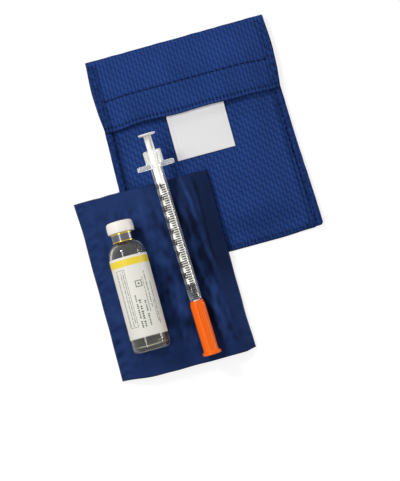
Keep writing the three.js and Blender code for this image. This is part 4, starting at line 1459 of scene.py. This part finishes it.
class OBJECT_OT_case_vial(Turning, bpy.types.Operator):
    """Makes the vial's glass, liquid, stopper, crimp, cap and printed label"""

    bl_idname = "object.case_vial"
    bl_label = "Vial"

    wall = 0.001
    floor = 0.0019
    floor_edge = 0.0024
    heel_round = 0.0028
    crimp_fit = 0.0003

    def execute(self, context):
        low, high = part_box("vial_glass")
        self.place = Matrix.Translation(((low.x + high.x) / 2, low.y, (low.z + high.z) / 2))
        self.make_glass()
        self.make_stopper()
        self.make_crimp()
        self.make_cap()
        self.make_label()
        return {"FINISHED"}

    def make_glass(self):
        neck, bore = 0.0049, 0.0036
        rim_height, rim_slope, neck_height = 0.0042, 0.0003, 0.0014
        punt, punt_inset, foot_inset, foot_round = 0.0006, 0.0050, 0.0038, 0.0030
        shoulder_lift, shoulder_round = 0.0004, 0.0016
        bulge_in, bulge_up = 0.0007, 0.0032
        slope_in, slope_down, neck_up = 0.0026, 0.0004, 0.0007
        throat_up, throat_in, throat_down = 0.0002, 0.0034, 0.0014
        hollow_in, hollow_up, hollow_start, hollow_round = 0.0008, 0.0026, 0.0001, 0.0014
        vial = look().vial
        clear = {"Transmission_Weight": 1.0, "Sheen_Roughness": 0.3}
        glass = clear_material(
            "vial_glass", vial.glass_colour, roughness=0.015, Sheen_Weight=0.6, IOR=1.48, **clear
        )
        measured = self.measure("vial_glass")
        radius = measured.reach()
        top = measured.span()[1]
        inner = radius - self.wall
        shoulder = self.measure("insulin_fill").span(radius / 2)[1]
        rim = vial.crimp_radius - self.crimp_fit
        rim_low = top - rim_height
        shoulder_end = rim_low - neck_height
        outside = [
            (0, punt),
            (radius - punt_inset, punt, EDGE_WIDE),
            (radius - foot_inset, 0, EDGE_WIDE),
            (radius, 0, foot_round),
            (radius, shoulder + shoulder_lift, shoulder_round),
            (radius - bulge_in, shoulder + bulge_up, EDGE_BROAD),
            (radius - slope_in, shoulder_end - slope_down, EDGE_BROAD),
            (neck, shoulder_end + neck_up, EDGE_MEDIUM),
            (neck, rim_low, EDGE_SMALL),
            (rim, rim_low + rim_slope, EDGE_SOFT),
            (rim, top, EDGE_MEDIUM),
            (bore, top, EDGE_SOFT),
        ]
        inside = [
            (bore, shoulder_end + throat_up, EDGE_BROAD),
            (radius - throat_in, shoulder_end - throat_down, EDGE_BROAD),
            (inner - hollow_in, shoulder + hollow_up, EDGE_BROAD),
            (inner, shoulder + hollow_start, hollow_round),
            (inner, self.floor_edge, self.heel_round),
            (0, self.floor),
        ]
        self.turn("vial_glass_body", glass, outside + inside, "vial", "vial_glass", "vial_glass")
        liquid = clear_material("insulin", vial.liquid_colour, roughness=0.01, IOR=1.34, **clear)
        self.make_liquid(liquid, inner, shoulder)

    def make_liquid(self, material, inner, shoulder):
        """The liquid laps into the glass by a hair, so that no air shows between them."""
        overlap = 0.00003
        top_drop, edge_drop = 0.0010, 0.0012
        fill = [
            (0, self.floor - overlap),
            (inner + overlap, self.floor_edge - overlap, self.heel_round),
            (inner + overlap, shoulder - edge_drop, EDGE_CRISP),
            (inner - edge_drop, shoulder - top_drop, EDGE_CRISP),
            (0, shoulder - top_drop),
        ]
        self.turn("insulin_liquid", material, fill, "vial", "liquid", "insulin_fill")

    def make_stopper(self):
        hollow, lip_in, lip_up = 0.001, 0.0006, 0.0004
        seat_gap = 0.0002
        mark_radius, mark_floor, mark_depth = 0.002, 0.0018, 0.0003
        vial = look().vial
        matt = {"roughness": 0.7, "amount": 0.12, "relief": 0.00003}
        rubber = moulded_material("vial_stopper_rubber", vial.stopper_colour, **matt)
        stopper = self.measure("vial_stopper")
        low, high = stopper.span()
        flange = min(stopper.reach(), vial.crimp_radius - self.crimp_fit)
        plug = stopper.reach_at(low)
        flange_low = self.measure("vial_glass").span()[1] + seat_gap
        profile = [
            (0, low + hollow),
            (plug - hollow, low + hollow, EDGE_SOFT),
            (plug - lip_in, low, EDGE_SMALL),
            (plug, low + lip_up, EDGE_SMALL),
            (plug, flange_low, EDGE_CRISP),
            (flange, flange_low, EDGE_SMALL),
            (flange, high, EDGE_SMALL),
            (mark_radius, high),
            (mark_floor, high - mark_depth),
            (0, high - mark_depth),
        ]
        self.turn("vial_rubber_stopper", rubber, profile, "vial", "rubber", "vial_stopper", steps=SMALL_STEPS)

    def make_crimp(self):
        """The aluminium crimp, grooved above its rolled rim, and two gold bands round it."""
        foil, foil_edge = 0.00025, 0.00006
        hole, neck = 0.0026, 0.0051
        roll_end, roll_slope, roll_in, inside_end = 0.0006, 0.0001, 0.0003, 0.0007
        groove_start, groove_middle, groove_end, groove_depth = 0.0008, 0.0013, 0.002, 0.00012
        vial = look().vial
        bright = {"relief": 0.00001, "fine": 500.0, "Metallic": 1.0}
        metal = moulded_material("crimp_aluminium", vial.crimp_colour, roughness=0.22, amount=0.2, **bright)
        gold = moulded_material("crimp_gold", vial.gold_colour, roughness=0.25, amount=0.15, **bright)
        low, high = self.measure("vial_crimp_collar").span()
        outer = vial.crimp_radius
        inner = outer - foil
        profile = [
            (neck, low + roll_end),
            (neck, low + roll_slope, EDGE_CRISP),
            (outer - roll_in, low, EDGE_SOFT),
            (outer, low + groove_start, EDGE_SMALL),
            (outer - groove_depth, low + groove_middle, EDGE_SMALL),
            (outer, low + groove_end, EDGE_SOFT),
            (outer, high, EDGE_WIDE),
            (hole, high, foil_edge),
            (hole, high - foil, foil_edge),
            (inner, high - foil, EDGE_SOFT),
            (inner, low + inside_end, EDGE_CRISP),
        ]
        self.turn("vial_crimp", metal, profile, "vial", "crimp_metal", "vial_crimp_collar", ring=True)
        rim_place, rim_half, band_place, band_half = 0.0004, 0.0003, 0.0026, 0.0006
        self.gold_band("vial_crimp_rolled_rim", gold, low + rim_place, rim_half)
        self.gold_band("vial_crimp_gold_band", gold, high - band_place, band_half)

    def gold_band(self, name, material, along, half):
        sunk, proud, edge = 0.0002, 0.00008, 0.0001
        outer = look().vial.crimp_radius
        ring = [
            (outer - sunk, along - half),
            (outer + proud, along - half, edge),
            (outer + proud, along + half, edge),
            (outer - sunk, along + half),
        ]
        self.turn(name, material, ring, "vial", "crimp_metal", ring=True)

    def make_cap(self):
        """The flip-off cap, dished on top with a small round mark, and hollow over the crimp."""
        fit, headroom = 0.0002, 0.0004
        draft, skirt, top_round = 0.0002, 0.0016, 0.0018
        dish_radius, dish_floor, dish_depth = 0.0042, 0.0036, 0.0004
        mark_radius, mark_top, mark_drop = 0.0008, 0.0006, 0.0002
        vial = look().vial
        satin = {"roughness": 0.38, "amount": 0.05, "relief": 0.00002}
        plastic = moulded_material("flip_cap_plastic", vial.cap_colour, **satin)
        low, high = self.measure("vial_flip_cap").span()
        outer = vial.cap_radius
        roof = self.measure("vial_crimp_collar").span()[1] + headroom
        recess = vial.crimp_radius + fit
        profile = [
            (0, roof),
            (recess, roof, EDGE_CRISP),
            (recess, low, EDGE_CRISP),
            (outer - draft, low, EDGE_WIDE),
            (outer, low + skirt, EDGE_BROAD),
            (outer - draft, high, top_round),
            (dish_radius, high, EDGE_SOFT),
            (dish_floor, high - dish_depth, EDGE_SMALL),
            (mark_radius, high - dish_depth, EDGE_CRISP),
            (mark_top, high - mark_drop, EDGE_CRISP),
            (0, high - mark_drop),
        ]
        self.turn("vial_flip_off_cap", plastic, profile, "vial_cap", "flip_cap", "vial_flip_cap")

    def make_label(self):
        """A paper label wrapped round the glass, with a band, ruled lines and no words."""
        thickness, edge = 0.00012, 0.00004
        label = self.measure("vial_label")
        low, high = label.span()
        outer = label.reach()
        paper = label_paper_material(self.place.translation.y + high)
        inner = outer - thickness
        ring = [(inner, low), (outer, low, edge), (outer, high, edge), (inner, high)]
        self.turn("vial_paper_label", paper, ring, "vial", "vial_label", "vial_label", ring=True)
        self.print_label(outer, low)

    def print_label(self, radius, low):
        """Generic print: rows of short grey bars along the label, a ruled box and a small square."""
        rule = 0.00018
        box_left, box_right, box_low, box_high = -0.0087, -0.0036, 0.0057, 0.0357
        square_x, square_y, square_half = 0.0021, 0.0271, 0.0017
        ink = moulded_material("label_ink", look().vial.ink_colour, roughness=0.6, amount=0.2)
        bm = bmesh.new()
        self.print_rows(bm, low)
        frame_marks(bm, box_left, box_right, low + box_low, low + box_high, rule, rule / 2)
        middle, dot = low + square_y, square_half / 4
        add_mark(bm, square_x - dot, square_x + dot, middle - dot, middle + dot)
        left, right = square_x - square_half, square_x + square_half
        frame_marks(bm, left, right, middle - square_half, middle + square_half, 2 * rule, rule / 2)
        piece = print_round(bm, "vial_label_print", ink, radius, self.place)
        place_piece(piece, "vial", "vial_label")

    def print_rows(self, bm, low):
        """Rows of bars in groups of uneven length. No bar is a letter."""
        word_shares, word_gap_share = (2, 7), 1.6
        bar_step_share, bar_width_share, bar_height_shares = 1.25, 0.8, (0.8, 1.3)
        # Each row's place across the label, its start and end along it, and its bars' height
        rows = [
            (-0.0081, 0.0065, 0.0345, 0.0003),
            (-0.0060, 0.0065, 0.0340, 0.00042),
            (-0.0047, 0.0080, 0.0345, 0.00042),
            (-0.0013, 0.0047, 0.0222, 0.00075),
            (0.0004, 0.0049, 0.0192, 0.00090),
            (0.0031, 0.0050, 0.0175, 0.00070),
            (0.0046, 0.0120, 0.0300, 0.00035),
            (0.0063, 0.0140, 0.0330, 0.00050),
            (0.0077, 0.0060, 0.0180, 0.00035),
            (0.0088, 0.0050, 0.0270, 0.00055),
        ]
        draw = random.Random(5)
        for aside, start, end, size in rows:
            along = low + start
            while along < low + end:
                word = draw.uniform(*word_shares) * size
                for bar in np.arange(along, min(along + word, low + end), bar_step_share * size):
                    tall = size * draw.uniform(*bar_height_shares)
                    add_mark(bm, aside - tall / 2, aside + tall / 2, bar, bar + bar_width_share * size)
                along = along + word + word_gap_share * size


def add_mark(bm, left, right, start, end):
    """A thin closed patch of ink between two places across and two along, still flat."""
    ink, patch_step = 0.00003, 0.0008
    count = max(1, math.ceil((right - left) / patch_step))
    size = Matrix.Diagonal((right - left, end - start, ink, 1))
    centre = Matrix.Translation(((left + right) / 2, (start + end) / 2, ink / 2))
    made = bmesh.ops.create_cube(bm, size=1, matrix=centre @ size)["verts"]
    if count > 1:
        edges = {edge for vertex in made for edge in vertex.link_edges}
        across = [edge for edge in edges if abs(edge.verts[0].co.x - edge.verts[1].co.x) > WELD]
        bmesh.ops.subdivide_edges(bm, edges=across, cuts=count - 1)


def frame_marks(bm, left, right, bottom, top, rule, lap):
    """Four ruled lines round a box. The level ones end inside the upright ones, so no corners coincide."""
    for start, end in ((left, left + rule), (right - rule, right)):
        add_mark(bm, start, end, bottom, top)
    for start, end in ((bottom, bottom + rule), (top - rule, top)):
        add_mark(bm, left + lap, right - lap, start, end)


def print_round(bm, name, ink, radius, place):
    """Bends flat print round a surface about Y, its middle line facing up, and puts it in its place."""
    for vertex in bm.verts:
        angle = vertex.co.x / radius
        out = radius + vertex.co.z
        vertex.co = (out * math.sin(angle), vertex.co.y, out * math.cos(angle))
    bmesh.ops.transform(bm, matrix=place, verts=bm.verts)
    bmesh.ops.recalc_face_normals(bm, faces=bm.faces)
    return to_object(bm, name, ink, smooth=False)


# Syringe


def plunger_slide():
    """The joint that draws the plunger out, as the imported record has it."""
    joints = frame["record"]["behaviour"]["joints"]
    return next(joint for joint in joints if joint["name"] == "plunger_slide")


def syringe_line():
    """The middle of the thumb rest's top, and the way from there to the needle."""
    ring_depth = 0.0001
    back = Vector(plunger_slide()["axis"]).normalized()
    corners = [vertex.co for vertex in frame["nodes"]["plunger_rod"].data.vertices]
    top = max(corner.dot(back) for corner in corners)
    ring = [corner for corner in corners if corner.dot(back) > top - ring_depth]
    return sum(ring, Vector()) / len(ring), -back


def barrel_x(y):
    """Where the syringe's middle line lies across the case, at places up it."""
    tip, axis = syringe_line()
    return tip.x + axis.x * (y - tip.y) / axis.y


class OBJECT_OT_case_syringe(Turning, bpy.types.Operator):
    """Makes the syringe's barrel, scale, plunger, hub, needle and cap"""

    bl_idname = "object.case_syringe"
    bl_label = "Syringe"

    wing_start = 0.006
    wing_depth = 0.0047
    wing_bevel = 0.0005
    wing_lap = 0.00049
    barrel_slack = 0.00005
    number_bold = 0.00016
    number_x = -0.0028
    ink_lift = 0.00003
    ink_half = 0.000015

    def execute(self, context):
        self.place = self.syringe_place()
        self.make_barrel()
        self.make_plunger()
        self.make_stopper()
        self.make_needle()
        self.make_cap()
        self.make_scale()
        return {"FINISHED"}

    def syringe_place(self):
        """The syringe's own frame: Y runs from the needle up to the thumb rest's top, at 0."""
        tip, down = syringe_line()
        along = -down
        across = along.cross(UP).normalized()
        up = across.cross(along)
        turn = Matrix((across, along, up)).transposed().to_4x4()
        return Matrix.Translation(tip) @ turn

    def make_barrel(self):
        """A clear tube, and a milky sleeve at its top with the finger flange's two wings."""
        fit, front, seat, seat_gap = 0.0002, 0.0012, 0.0006, 0.0002
        collar_wall, collar_slope = 0.0014, 0.0003
        seen = look().syringe.barrel_colour
        clear = {"roughness": 0.05, "Transmission_Weight": 1.0, "Sheen_Weight": 0.7, "IOR": 1.45}
        frosted = {"roughness": 0.22, "Transmission_Weight": 0.8, "Sheen_Weight": 1.0, "IOR": 1.45}
        plastic = clear_material("barrel_plastic", seen, **clear)
        milky = clear_material("flange_plastic", seen, **frosted)
        barrel = self.measure("syringe_barrel")
        low, collar_top = barrel.span()
        self.barrel_radius = radius = barrel.reach(low, low + MARGIN) - self.barrel_slack
        wing_low, wing_high = barrel.span(self.wing_start)
        tube_top = wing_low + seat
        collar = barrel.reach_at(collar_top)
        collar_bore = collar - collar_wall
        bore = self.measure("plunger_stopper").reach() + fit
        profile = [
            (0, low),
            (radius, low, EDGE_WIDE),
            (radius, tube_top, EDGE_CRISP),
            (bore, tube_top, EDGE_CRISP),
            (bore, low + front, EDGE_SMALL),
            (0, low + front),
        ]
        self.turn("syringe_barrel_tube", plastic, profile, "syringe", "clear_plastic", "syringe_barrel")
        ring = [
            (radius, wing_low),
            (collar, wing_low + collar_slope, EDGE_SMALL),
            (collar, collar_top, EDGE_MEDIUM),
            (collar_bore, collar_top, EDGE_MEDIUM),
            (collar_bore, wing_high, EDGE_WIDE),
            (bore, tube_top + seat_gap, EDGE_SMALL),
            (radius, tube_top + seat_gap),
        ]
        sleeve = turned("syringe_flange", milky, ring, self.place, ring=True)
        wings = self.wings(milky, wing_low, wing_high, collar - self.wing_lap, barrel.reach())
        place_piece(unite(sleeve, wings), "syringe", "clear_plastic")

    def wings(self, material, low, high, hole, reach):
        """The finger flange: a plate with round ends and a hole for the barrel."""
        sides, steepness = 64, 6
        depth = self.wing_depth
        bm = bmesh.new()
        bmesh.ops.create_circle(bm, segments=sides, radius=hole)
        for vertex in bmesh.ops.create_circle(bm, segments=sides, radius=depth)["verts"]:
            vertex.co.x += (reach - depth) * max(-1.0, min(1.0, steepness * vertex.co.x / depth))
        bmesh.ops.bridge_loops(bm, edges=bm.edges[:])
        up = Matrix.Rotation(-math.pi / 2, 4, "X")
        bmesh.ops.transform(bm, matrix=Matrix.Translation((0, low, 0)) @ up, verts=bm.verts)
        faces = bmesh.ops.extrude_face_region(bm, geom=bm.faces[:])["geom"]
        moved = [part for part in faces if isinstance(part, bmesh.types.BMVert)]
        bmesh.ops.translate(bm, verts=moved, vec=(0, high - low, 0))
        bmesh.ops.recalc_face_normals(bm, faces=bm.faces)
        rim = [edge for edge in bm.edges if len(edge.link_faces) == 2 and edge.calc_face_angle() > 1]
        round_off(bm, rim, self.wing_bevel, 3)
        bmesh.ops.transform(bm, matrix=self.place, verts=bm.verts)
        return to_object(bm, "syringe_wings", material)

    def make_plunger(self):
        """A rod of four blades with a dished thumb rest and a disc at its end."""
        blade, rib, blade_edge = 0.00195, 0.00045, 0.00015
        rest_start, disc_height = 0.0035, 0.0008
        lap_low, lap_high = 0.0004, 0.0003
        under_in, under_up, side_up, draft = 0.0006, 0.0001, 0.0007, 0.0001
        rim_width, rim_drop = 0.0009, 0.0001
        dish_radius, dish_depth, dish_round = 0.0018, 0.0005, 0.0008
        glossy = {"roughness": 0.35, "amount": 0.03, "relief": 0.00001}
        plastic = moulded_material("plunger_plastic", look().syringe.rod_colour, **glossy)
        rod = self.measure("plunger_rod")
        low, high = rod.span()
        rest = rod.reach()
        rest_low = rod.span(rest_start)[0]
        disc = rod.reach_at(low)
        thumb = [
            (0, rest_low),
            (blade, rest_low, EDGE_SMALL),
            (rest - under_in, rest_low + under_up, EDGE_SMALL),
            (rest, rest_low + side_up, EDGE_MEDIUM),
            (rest - draft, high, EDGE_MEDIUM),
            (rest - rim_width, high - rim_drop, EDGE_SMALL),
            (dish_radius, high - dish_depth, dish_round),
            (0, high - dish_depth),
        ]
        end_top = low + disc_height
        end = [(0, low), (disc, low, EDGE_CRISP), (disc, end_top, EDGE_CRISP), (0, end_top)]
        piece = turned("plunger_rod_moulding", plastic, thumb, self.place)
        start, stop = low + lap_low, rest_low + lap_high
        parts = []
        for name, wide, deep in (("rod_flat", blade, rib), ("rod_upright", rib, blade)):
            corners = (-wide, start, -deep), (wide, stop, deep)
            parts.append(block(name, plastic, *corners, self.place, blade_edge))
        parts.append(turned("rod_disc", plastic, end, self.place, DISC_STEPS))
        unite(piece, *parts)
        place_piece(piece, "plunger", "plunger_plastic", "plunger_rod")

    def make_stopper(self):
        """The rubber stopper: a shallow cone in front and two rings with a waist between them."""
        nose_radius, nose_slope, nose_height = 0.0008, 0.0001, 0.0008
        groove, ring_slope = 0.00045, 0.0004
        black = look().syringe.stopper_colour
        matt = {"roughness": 0.5, "amount": 0.15, "relief": 0.00002, "Specular_IOR_Level": 0.15}
        rubber = moulded_material("plunger_rubber", black, **matt)
        stopper = self.measure("plunger_stopper")
        low, high = stopper.span()
        outer = stopper.reach()
        waist = outer - groove
        ring = (high - low) / 4
        profile = [
            (0, low),
            (nose_radius, low + nose_slope, EDGE_SOFT),
            (outer, low + nose_height, EDGE_SMALL),
            (outer, low + ring, EDGE_SMALL),
            (waist, low + ring + ring_slope, EDGE_CRISP),
            (waist, high - ring - ring_slope, EDGE_CRISP),
            (outer, high - ring, EDGE_SMALL),
            (outer, high, EDGE_SMALL),
            (0, high),
        ]
        names = ("plunger", "rubber", "plunger_stopper")
        self.turn("plunger_rubber_stopper", rubber, profile, *names, steps=SMALL_STEPS)

    def make_needle(self):
        """The hub that the cap fits over, hollow at its tip for the needle, and the needle itself."""
        socket_radius, socket_depth = 0.0005, 0.0013
        body_end, flange_in, flange_drop, neck = 0.0014, 0.0003, 0.0007, 0.0015
        needle_steps, point_share = 24, 4
        syringe = look().syringe
        plastic = moulded_material("hub_plastic", syringe.hub_colour, roughness=0.4, amount=0.05)
        bright = {"roughness": 0.2, "amount": 0.1, "Metallic": 1.0}
        steel = moulded_material("needle_steel", syringe.steel_colour, **bright)
        hub = self.measure("needle_hub")
        low, high = hub.span()
        outer = hub.reach()
        profile = [
            (0, low + socket_depth),
            (socket_radius, low + socket_depth),
            (socket_radius, low),
            (hub.reach_at(low), low, EDGE_CRISP),
            (outer, (low + high) / 2, EDGE_MEDIUM),
            (outer, high - body_end, EDGE_CRISP),
            (outer - flange_in, high - flange_drop, EDGE_CRISP),
            (neck, high - flange_drop, EDGE_CRISP),
            (neck, high),
            (0, high),
        ]
        names = ("syringe", "hub_plastic", "needle_hub")
        self.turn("needle_hub_moulding", plastic, profile, *names, steps=SMALL_STEPS)
        needle = self.measure("needle")
        low, high = needle.span()
        radius = needle.reach()
        profile = [(0, low), (radius, low + point_share * radius), (radius, high), (0, high)]
        self.turn("needle_tube", steel, profile, "syringe", "needle_steel", "needle", steps=needle_steps)

    def make_cap(self):
        """The needle's cap: a taper with long ribs and a flared foot."""
        foot_step, foot_edge = 0.0001, 0.0003
        top_radius, foot_radius, wall = 0.0035, 0.0039, 0.00075
        dish_depth, dish_in, dish_rim, foot_slope = 0.0004, 0.0018, 0.0014, 0.0008
        needle_room, bore_round, cavity_in = 0.0015, 0.001, 0.0015
        seen = look().syringe.cap_colour
        glossy = {"roughness": 0.25, "amount": 0.04, "relief": 0.00001, "Specular_IOR_Level": 0.2}
        plastic = moulded_material("needle_cap_plastic", seen, **glossy)
        cap = self.measure("needle_cap")
        low, high = cap.span()
        foot = cap.reach(low, low + foot_step)
        foot_height = cap.span(foot - foot_edge)[1] - low
        bore = top_radius - wall
        cavity_end = self.measure("needle").span()[0] - needle_room
        profile = [
            (0, low + dish_depth),
            (foot - dish_in, low + dish_depth, EDGE_SMALL),
            (foot - dish_rim, low, EDGE_CRISP),
            (foot, low, EDGE_SMALL),
            (foot, low + foot_height, EDGE_SMALL),
            (foot_radius, low + foot_height + foot_slope, EDGE_MEDIUM),
            (top_radius, high, EDGE_SMALL),
            (bore, high, EDGE_CRISP),
            (bore, self.measure("needle_hub").span()[0], bore_round),
            (top_radius - cavity_in, cavity_end, EDGE_MEDIUM),
            (0, cavity_end),
        ]
        piece = turned("needle_cap_shell", plastic, profile, self.place)
        count, rib_half, rib_height, rib_edge = 8, 0.0009, 0.00022, 0.0002
        rib_root, margin = 0.003, 0.0016
        reach = (top_radius + foot_radius) / 2 + rib_height
        corners = (-rib_half, low + foot_height / 2, rib_root), (rib_half, high - margin, reach)
        ribs = []
        for rib in range(count):
            turn = Matrix.Rotation(TURN * (rib + 0.5) / count, 4, "Y")
            ribs.append(block(f"cap_rib_{rib}", plastic, *corners, self.place @ turn, rib_edge))
        unite(piece, *ribs)
        place_piece(piece, "needle_cap", "orange_plastic", "needle_cap")

    def make_scale(self):
        """The printed scale: lines in the middle of the barrel and plain numbers beside them."""
        short, long = (-0.0009, 0.0015), (-0.0014, 0.0017)
        syringe = look().syringe
        ink = moulded_material("scale_ink", syringe.ink_colour, roughness=0.5, amount=0.1)
        zero = self.measure("plunger_stopper").span()[0]
        unit = plunger_slide()["range_m"][1] / syringe.scale_units
        half = syringe.tick_width / 2
        bm = bmesh.new()
        for mark in range(0, syringe.scale_units + 1, syringe.scale_step):
            place = zero + mark * unit
            left, right = short if mark % syringe.number_step else long
            add_mark(bm, left, right, place - half, place + half)
        piece = print_round(bm, "scale_lines", ink, self.barrel_radius, self.place)
        place_piece(piece, "syringe", "clear_plastic")
        for mark in range(syringe.number_step, syringe.scale_units + 1, syringe.number_step):
            piece = self.number(str(mark), zero + mark * unit, ink)
            place_piece(piece, "syringe", "clear_plastic")

    def number(self, words, along, ink):
        """One number, made flat and bent round the barrel, to be read with the needle up."""
        height_share = 1.4
        curve = bpy.data.curves.new("number_" + words, "FONT")
        curve.body = words
        curve.size = look().syringe.number_height * height_share
        curve.bevel_depth = self.number_bold
        curve.bevel_resolution = 0
        curve.align_x = "CENTER"
        curve.align_y = "CENTER"
        text = bpy.data.objects.new("text", curve)
        bpy.context.collection.objects.link(text)
        flat = shaped_mesh(text)
        bpy.data.objects.remove(text)
        bpy.data.curves.remove(curve)
        bm = bmesh.new()
        bm.from_mesh(flat)
        bpy.data.meshes.remove(flat)
        bmesh.ops.remove_doubles(bm, verts=bm.verts, dist=WELD)
        base = self.barrel_radius + self.ink_lift
        for vertex in bm.verts:
            angle = (self.number_x - vertex.co.x) / base
            out = base + vertex.co.z * self.ink_half / self.number_bold
            vertex.co = (out * math.sin(angle), along - vertex.co.y, out * math.cos(angle))
        bmesh.ops.recalc_face_normals(bm, faces=bm.faces)
        bmesh.ops.transform(bm, matrix=self.place, verts=bm.verts)
        return to_object(bm, "scale_number_" + words, ink, smooth=False)


# Stage


def seen_rays(tree):
    """1 for rays that the camera, a gloss or clear material sees the surroundings by, and 0 for light."""
    path = tree.add("ShaderNodeLightPath").outputs
    seen = tree.math("MAXIMUM", path["Is Camera Ray"], path["Is Glossy Ray"])
    return tree.math("MAXIMUM", seen, path["Is Transmission Ray"])


class OBJECT_OT_case_stage(bpy.types.Operator):
    """Makes the pale floor, the lamps and the camera of the photograph"""

    bl_idname = "object.case_stage"
    bl_label = "Stage"

    floor_half = 3.0
    floor_drop = 0.00005
    glow_share = 0.75
    glow_strength = 1.06
    sensor = 36.0
    nearest = 0.05

    def execute(self, context):
        self.make_floor()
        self.make_world()
        self.make_lamps()
        self.make_camera()
        return {"FINISHED"}

    def make_floor(self):
        """White where the camera looks, and still darker in the case's shadow."""
        material, tree, shader = new_material("pale_floor", Roughness=0.9, Specular_IOR_Level=0.0)
        shader.inputs["Base Color"].default_value = (*look().stage.floor_colour, 1)
        strength = tree.math("MULTIPLY", seen_rays(tree), self.glow_strength)
        glow = tree.add("ShaderNodeEmission", {"Color": (1, 1, 1, 1), "Strength": strength})
        tree.surface(self.glow_share, shader, glow)
        bm = bmesh.new()
        bmesh.ops.create_grid(bm, x_segments=1, y_segments=1, size=self.floor_half)
        bmesh.ops.translate(bm, verts=bm.verts, vec=(0, 0, -self.floor_drop))
        floor = to_object(bm, "floor", material, smooth=False)

    def make_world(self):
        """White all round, at full strength to the eye and at the lighting level to everything else."""
        world = bpy.data.worlds.new("studio")
        world.use_nodes = True
        bpy.context.scene.world = world
        tree = Tree(world.node_tree)
        background = world.node_tree.nodes["Background"]
        background.inputs["Color"].default_value = (1, 1, 1, 1)
        strength = tree.ramp(seen_rays(tree), 0.0, 1.0, look().stage.world_level, 1.0)
        tree.feed(background, "Strength", strength)

    def make_lamps(self):
        """A square key lamp at the upper left, a strip at the left and a low strip at the right."""
        key_place, key_size = (-0.6, 0.75, 0.9), (0.32, 0.32)
        strip_place, strip_size = (-0.5, -0.05, 0.9), (0.8, 0.12)
        rim_place, rim_size = (0.95, -0.06, 0.16), (0.6, 0.1)
        stage = look().stage
        self.lamp("key_lamp", key_place, key_size, stage.key_level)
        self.lamp("strip_lamp", strip_place, strip_size, stage.strip_level)
        self.lamp("rim_lamp", rim_place, rim_size, stage.rim_level)

    def lamp(self, name, place, size, power):
        """A soft lamp aimed at the middle of the case; its first size runs along the table."""
        light = bpy.data.lights.new(name, "AREA")
        light.shape = "RECTANGLE"
        light.size, light.size_y = size
        light.energy = power
        made = bpy.data.objects.new(name, light)
        target = Vector(look().stage.camera_target)
        made.location = place
        made.rotation_euler = (target - Vector(place)).to_track_quat("-Z", "Y").to_euler()
        bpy.context.collection.objects.link(made)

    def make_camera(self):
        """Nearly straight down, leaning a little, with the case turned in the view."""
        stage = look().stage
        target = Vector(stage.camera_target)
        roll, tilt = stage.camera_roll, stage.camera_tilt
        right = Vector((math.cos(roll), -math.sin(roll), 0))
        level_up = Vector((math.sin(roll), math.cos(roll), 0))
        back = UP * math.cos(tilt) - level_up * math.sin(tilt)
        up = back.cross(right)
        data = bpy.data.cameras.new("camera")
        data.sensor_width = self.sensor
        long_side = stage.view_width * PHOTO_HEIGHT / PHOTO_WIDTH
        data.lens = self.sensor * stage.camera_distance / long_side
        data.clip_start = self.nearest
        camera = bpy.data.objects.new("camera", data)
        turn = Matrix((right, up, back)).transposed().to_4x4()
        camera.matrix_world = Matrix.Translation(target + back * stage.camera_distance) @ turn
        bpy.context.collection.objects.link(camera)
        bpy.context.scene.camera = camera
        bpy.context.scene.view_settings.view_transform = "Standard"


OPERATORS = (
    OBJECT_OT_case_cover,
    OBJECT_OT_case_flap,
    OBJECT_OT_case_closure,
    OBJECT_OT_case_pouch,
    OBJECT_OT_case_vial,
    OBJECT_OT_case_syringe,
    OBJECT_OT_case_stage,
)


class VIEW3D_PT_cooling_case(bpy.types.Panel):
    """Lists the case's pieces and the stage"""

    bl_label = "Cooling Case"
    bl_idname = "VIEW3D_PT_cooling_case"
    bl_space_type = "VIEW_3D"
    bl_region_type = "UI"
    bl_category = "Cooling Case"

    def draw(self, context):
        for operator in OPERATORS:
            self.layout.operator(operator.bl_idname)


CLASSES = (
    CoverLook,
    PouchLook,
    VialLook,
    SyringeLook,
    StageLook,
    CoolingCaseLook,
    *OPERATORS,
    VIEW3D_PT_cooling_case,
)


def register():
    for part in CLASSES:
        bpy.utils.register_class(part)
    bpy.types.Scene.cooling_case = PointerProperty(type=CoolingCaseLook)


def unregister():
    del bpy.types.Scene.cooling_case
    for part in reversed(CLASSES):
        bpy.utils.unregister_class(part)


def main():
    register()
    bpy.ops.object.case_stage()
    bpy.ops.object.case_cover()
    bpy.ops.object.case_flap()
    bpy.ops.object.case_closure()
    bpy.ops.object.case_pouch()
    bpy.ops.object.case_vial()
    bpy.ops.object.case_syringe()


if __name__ == "__main__":
    main()
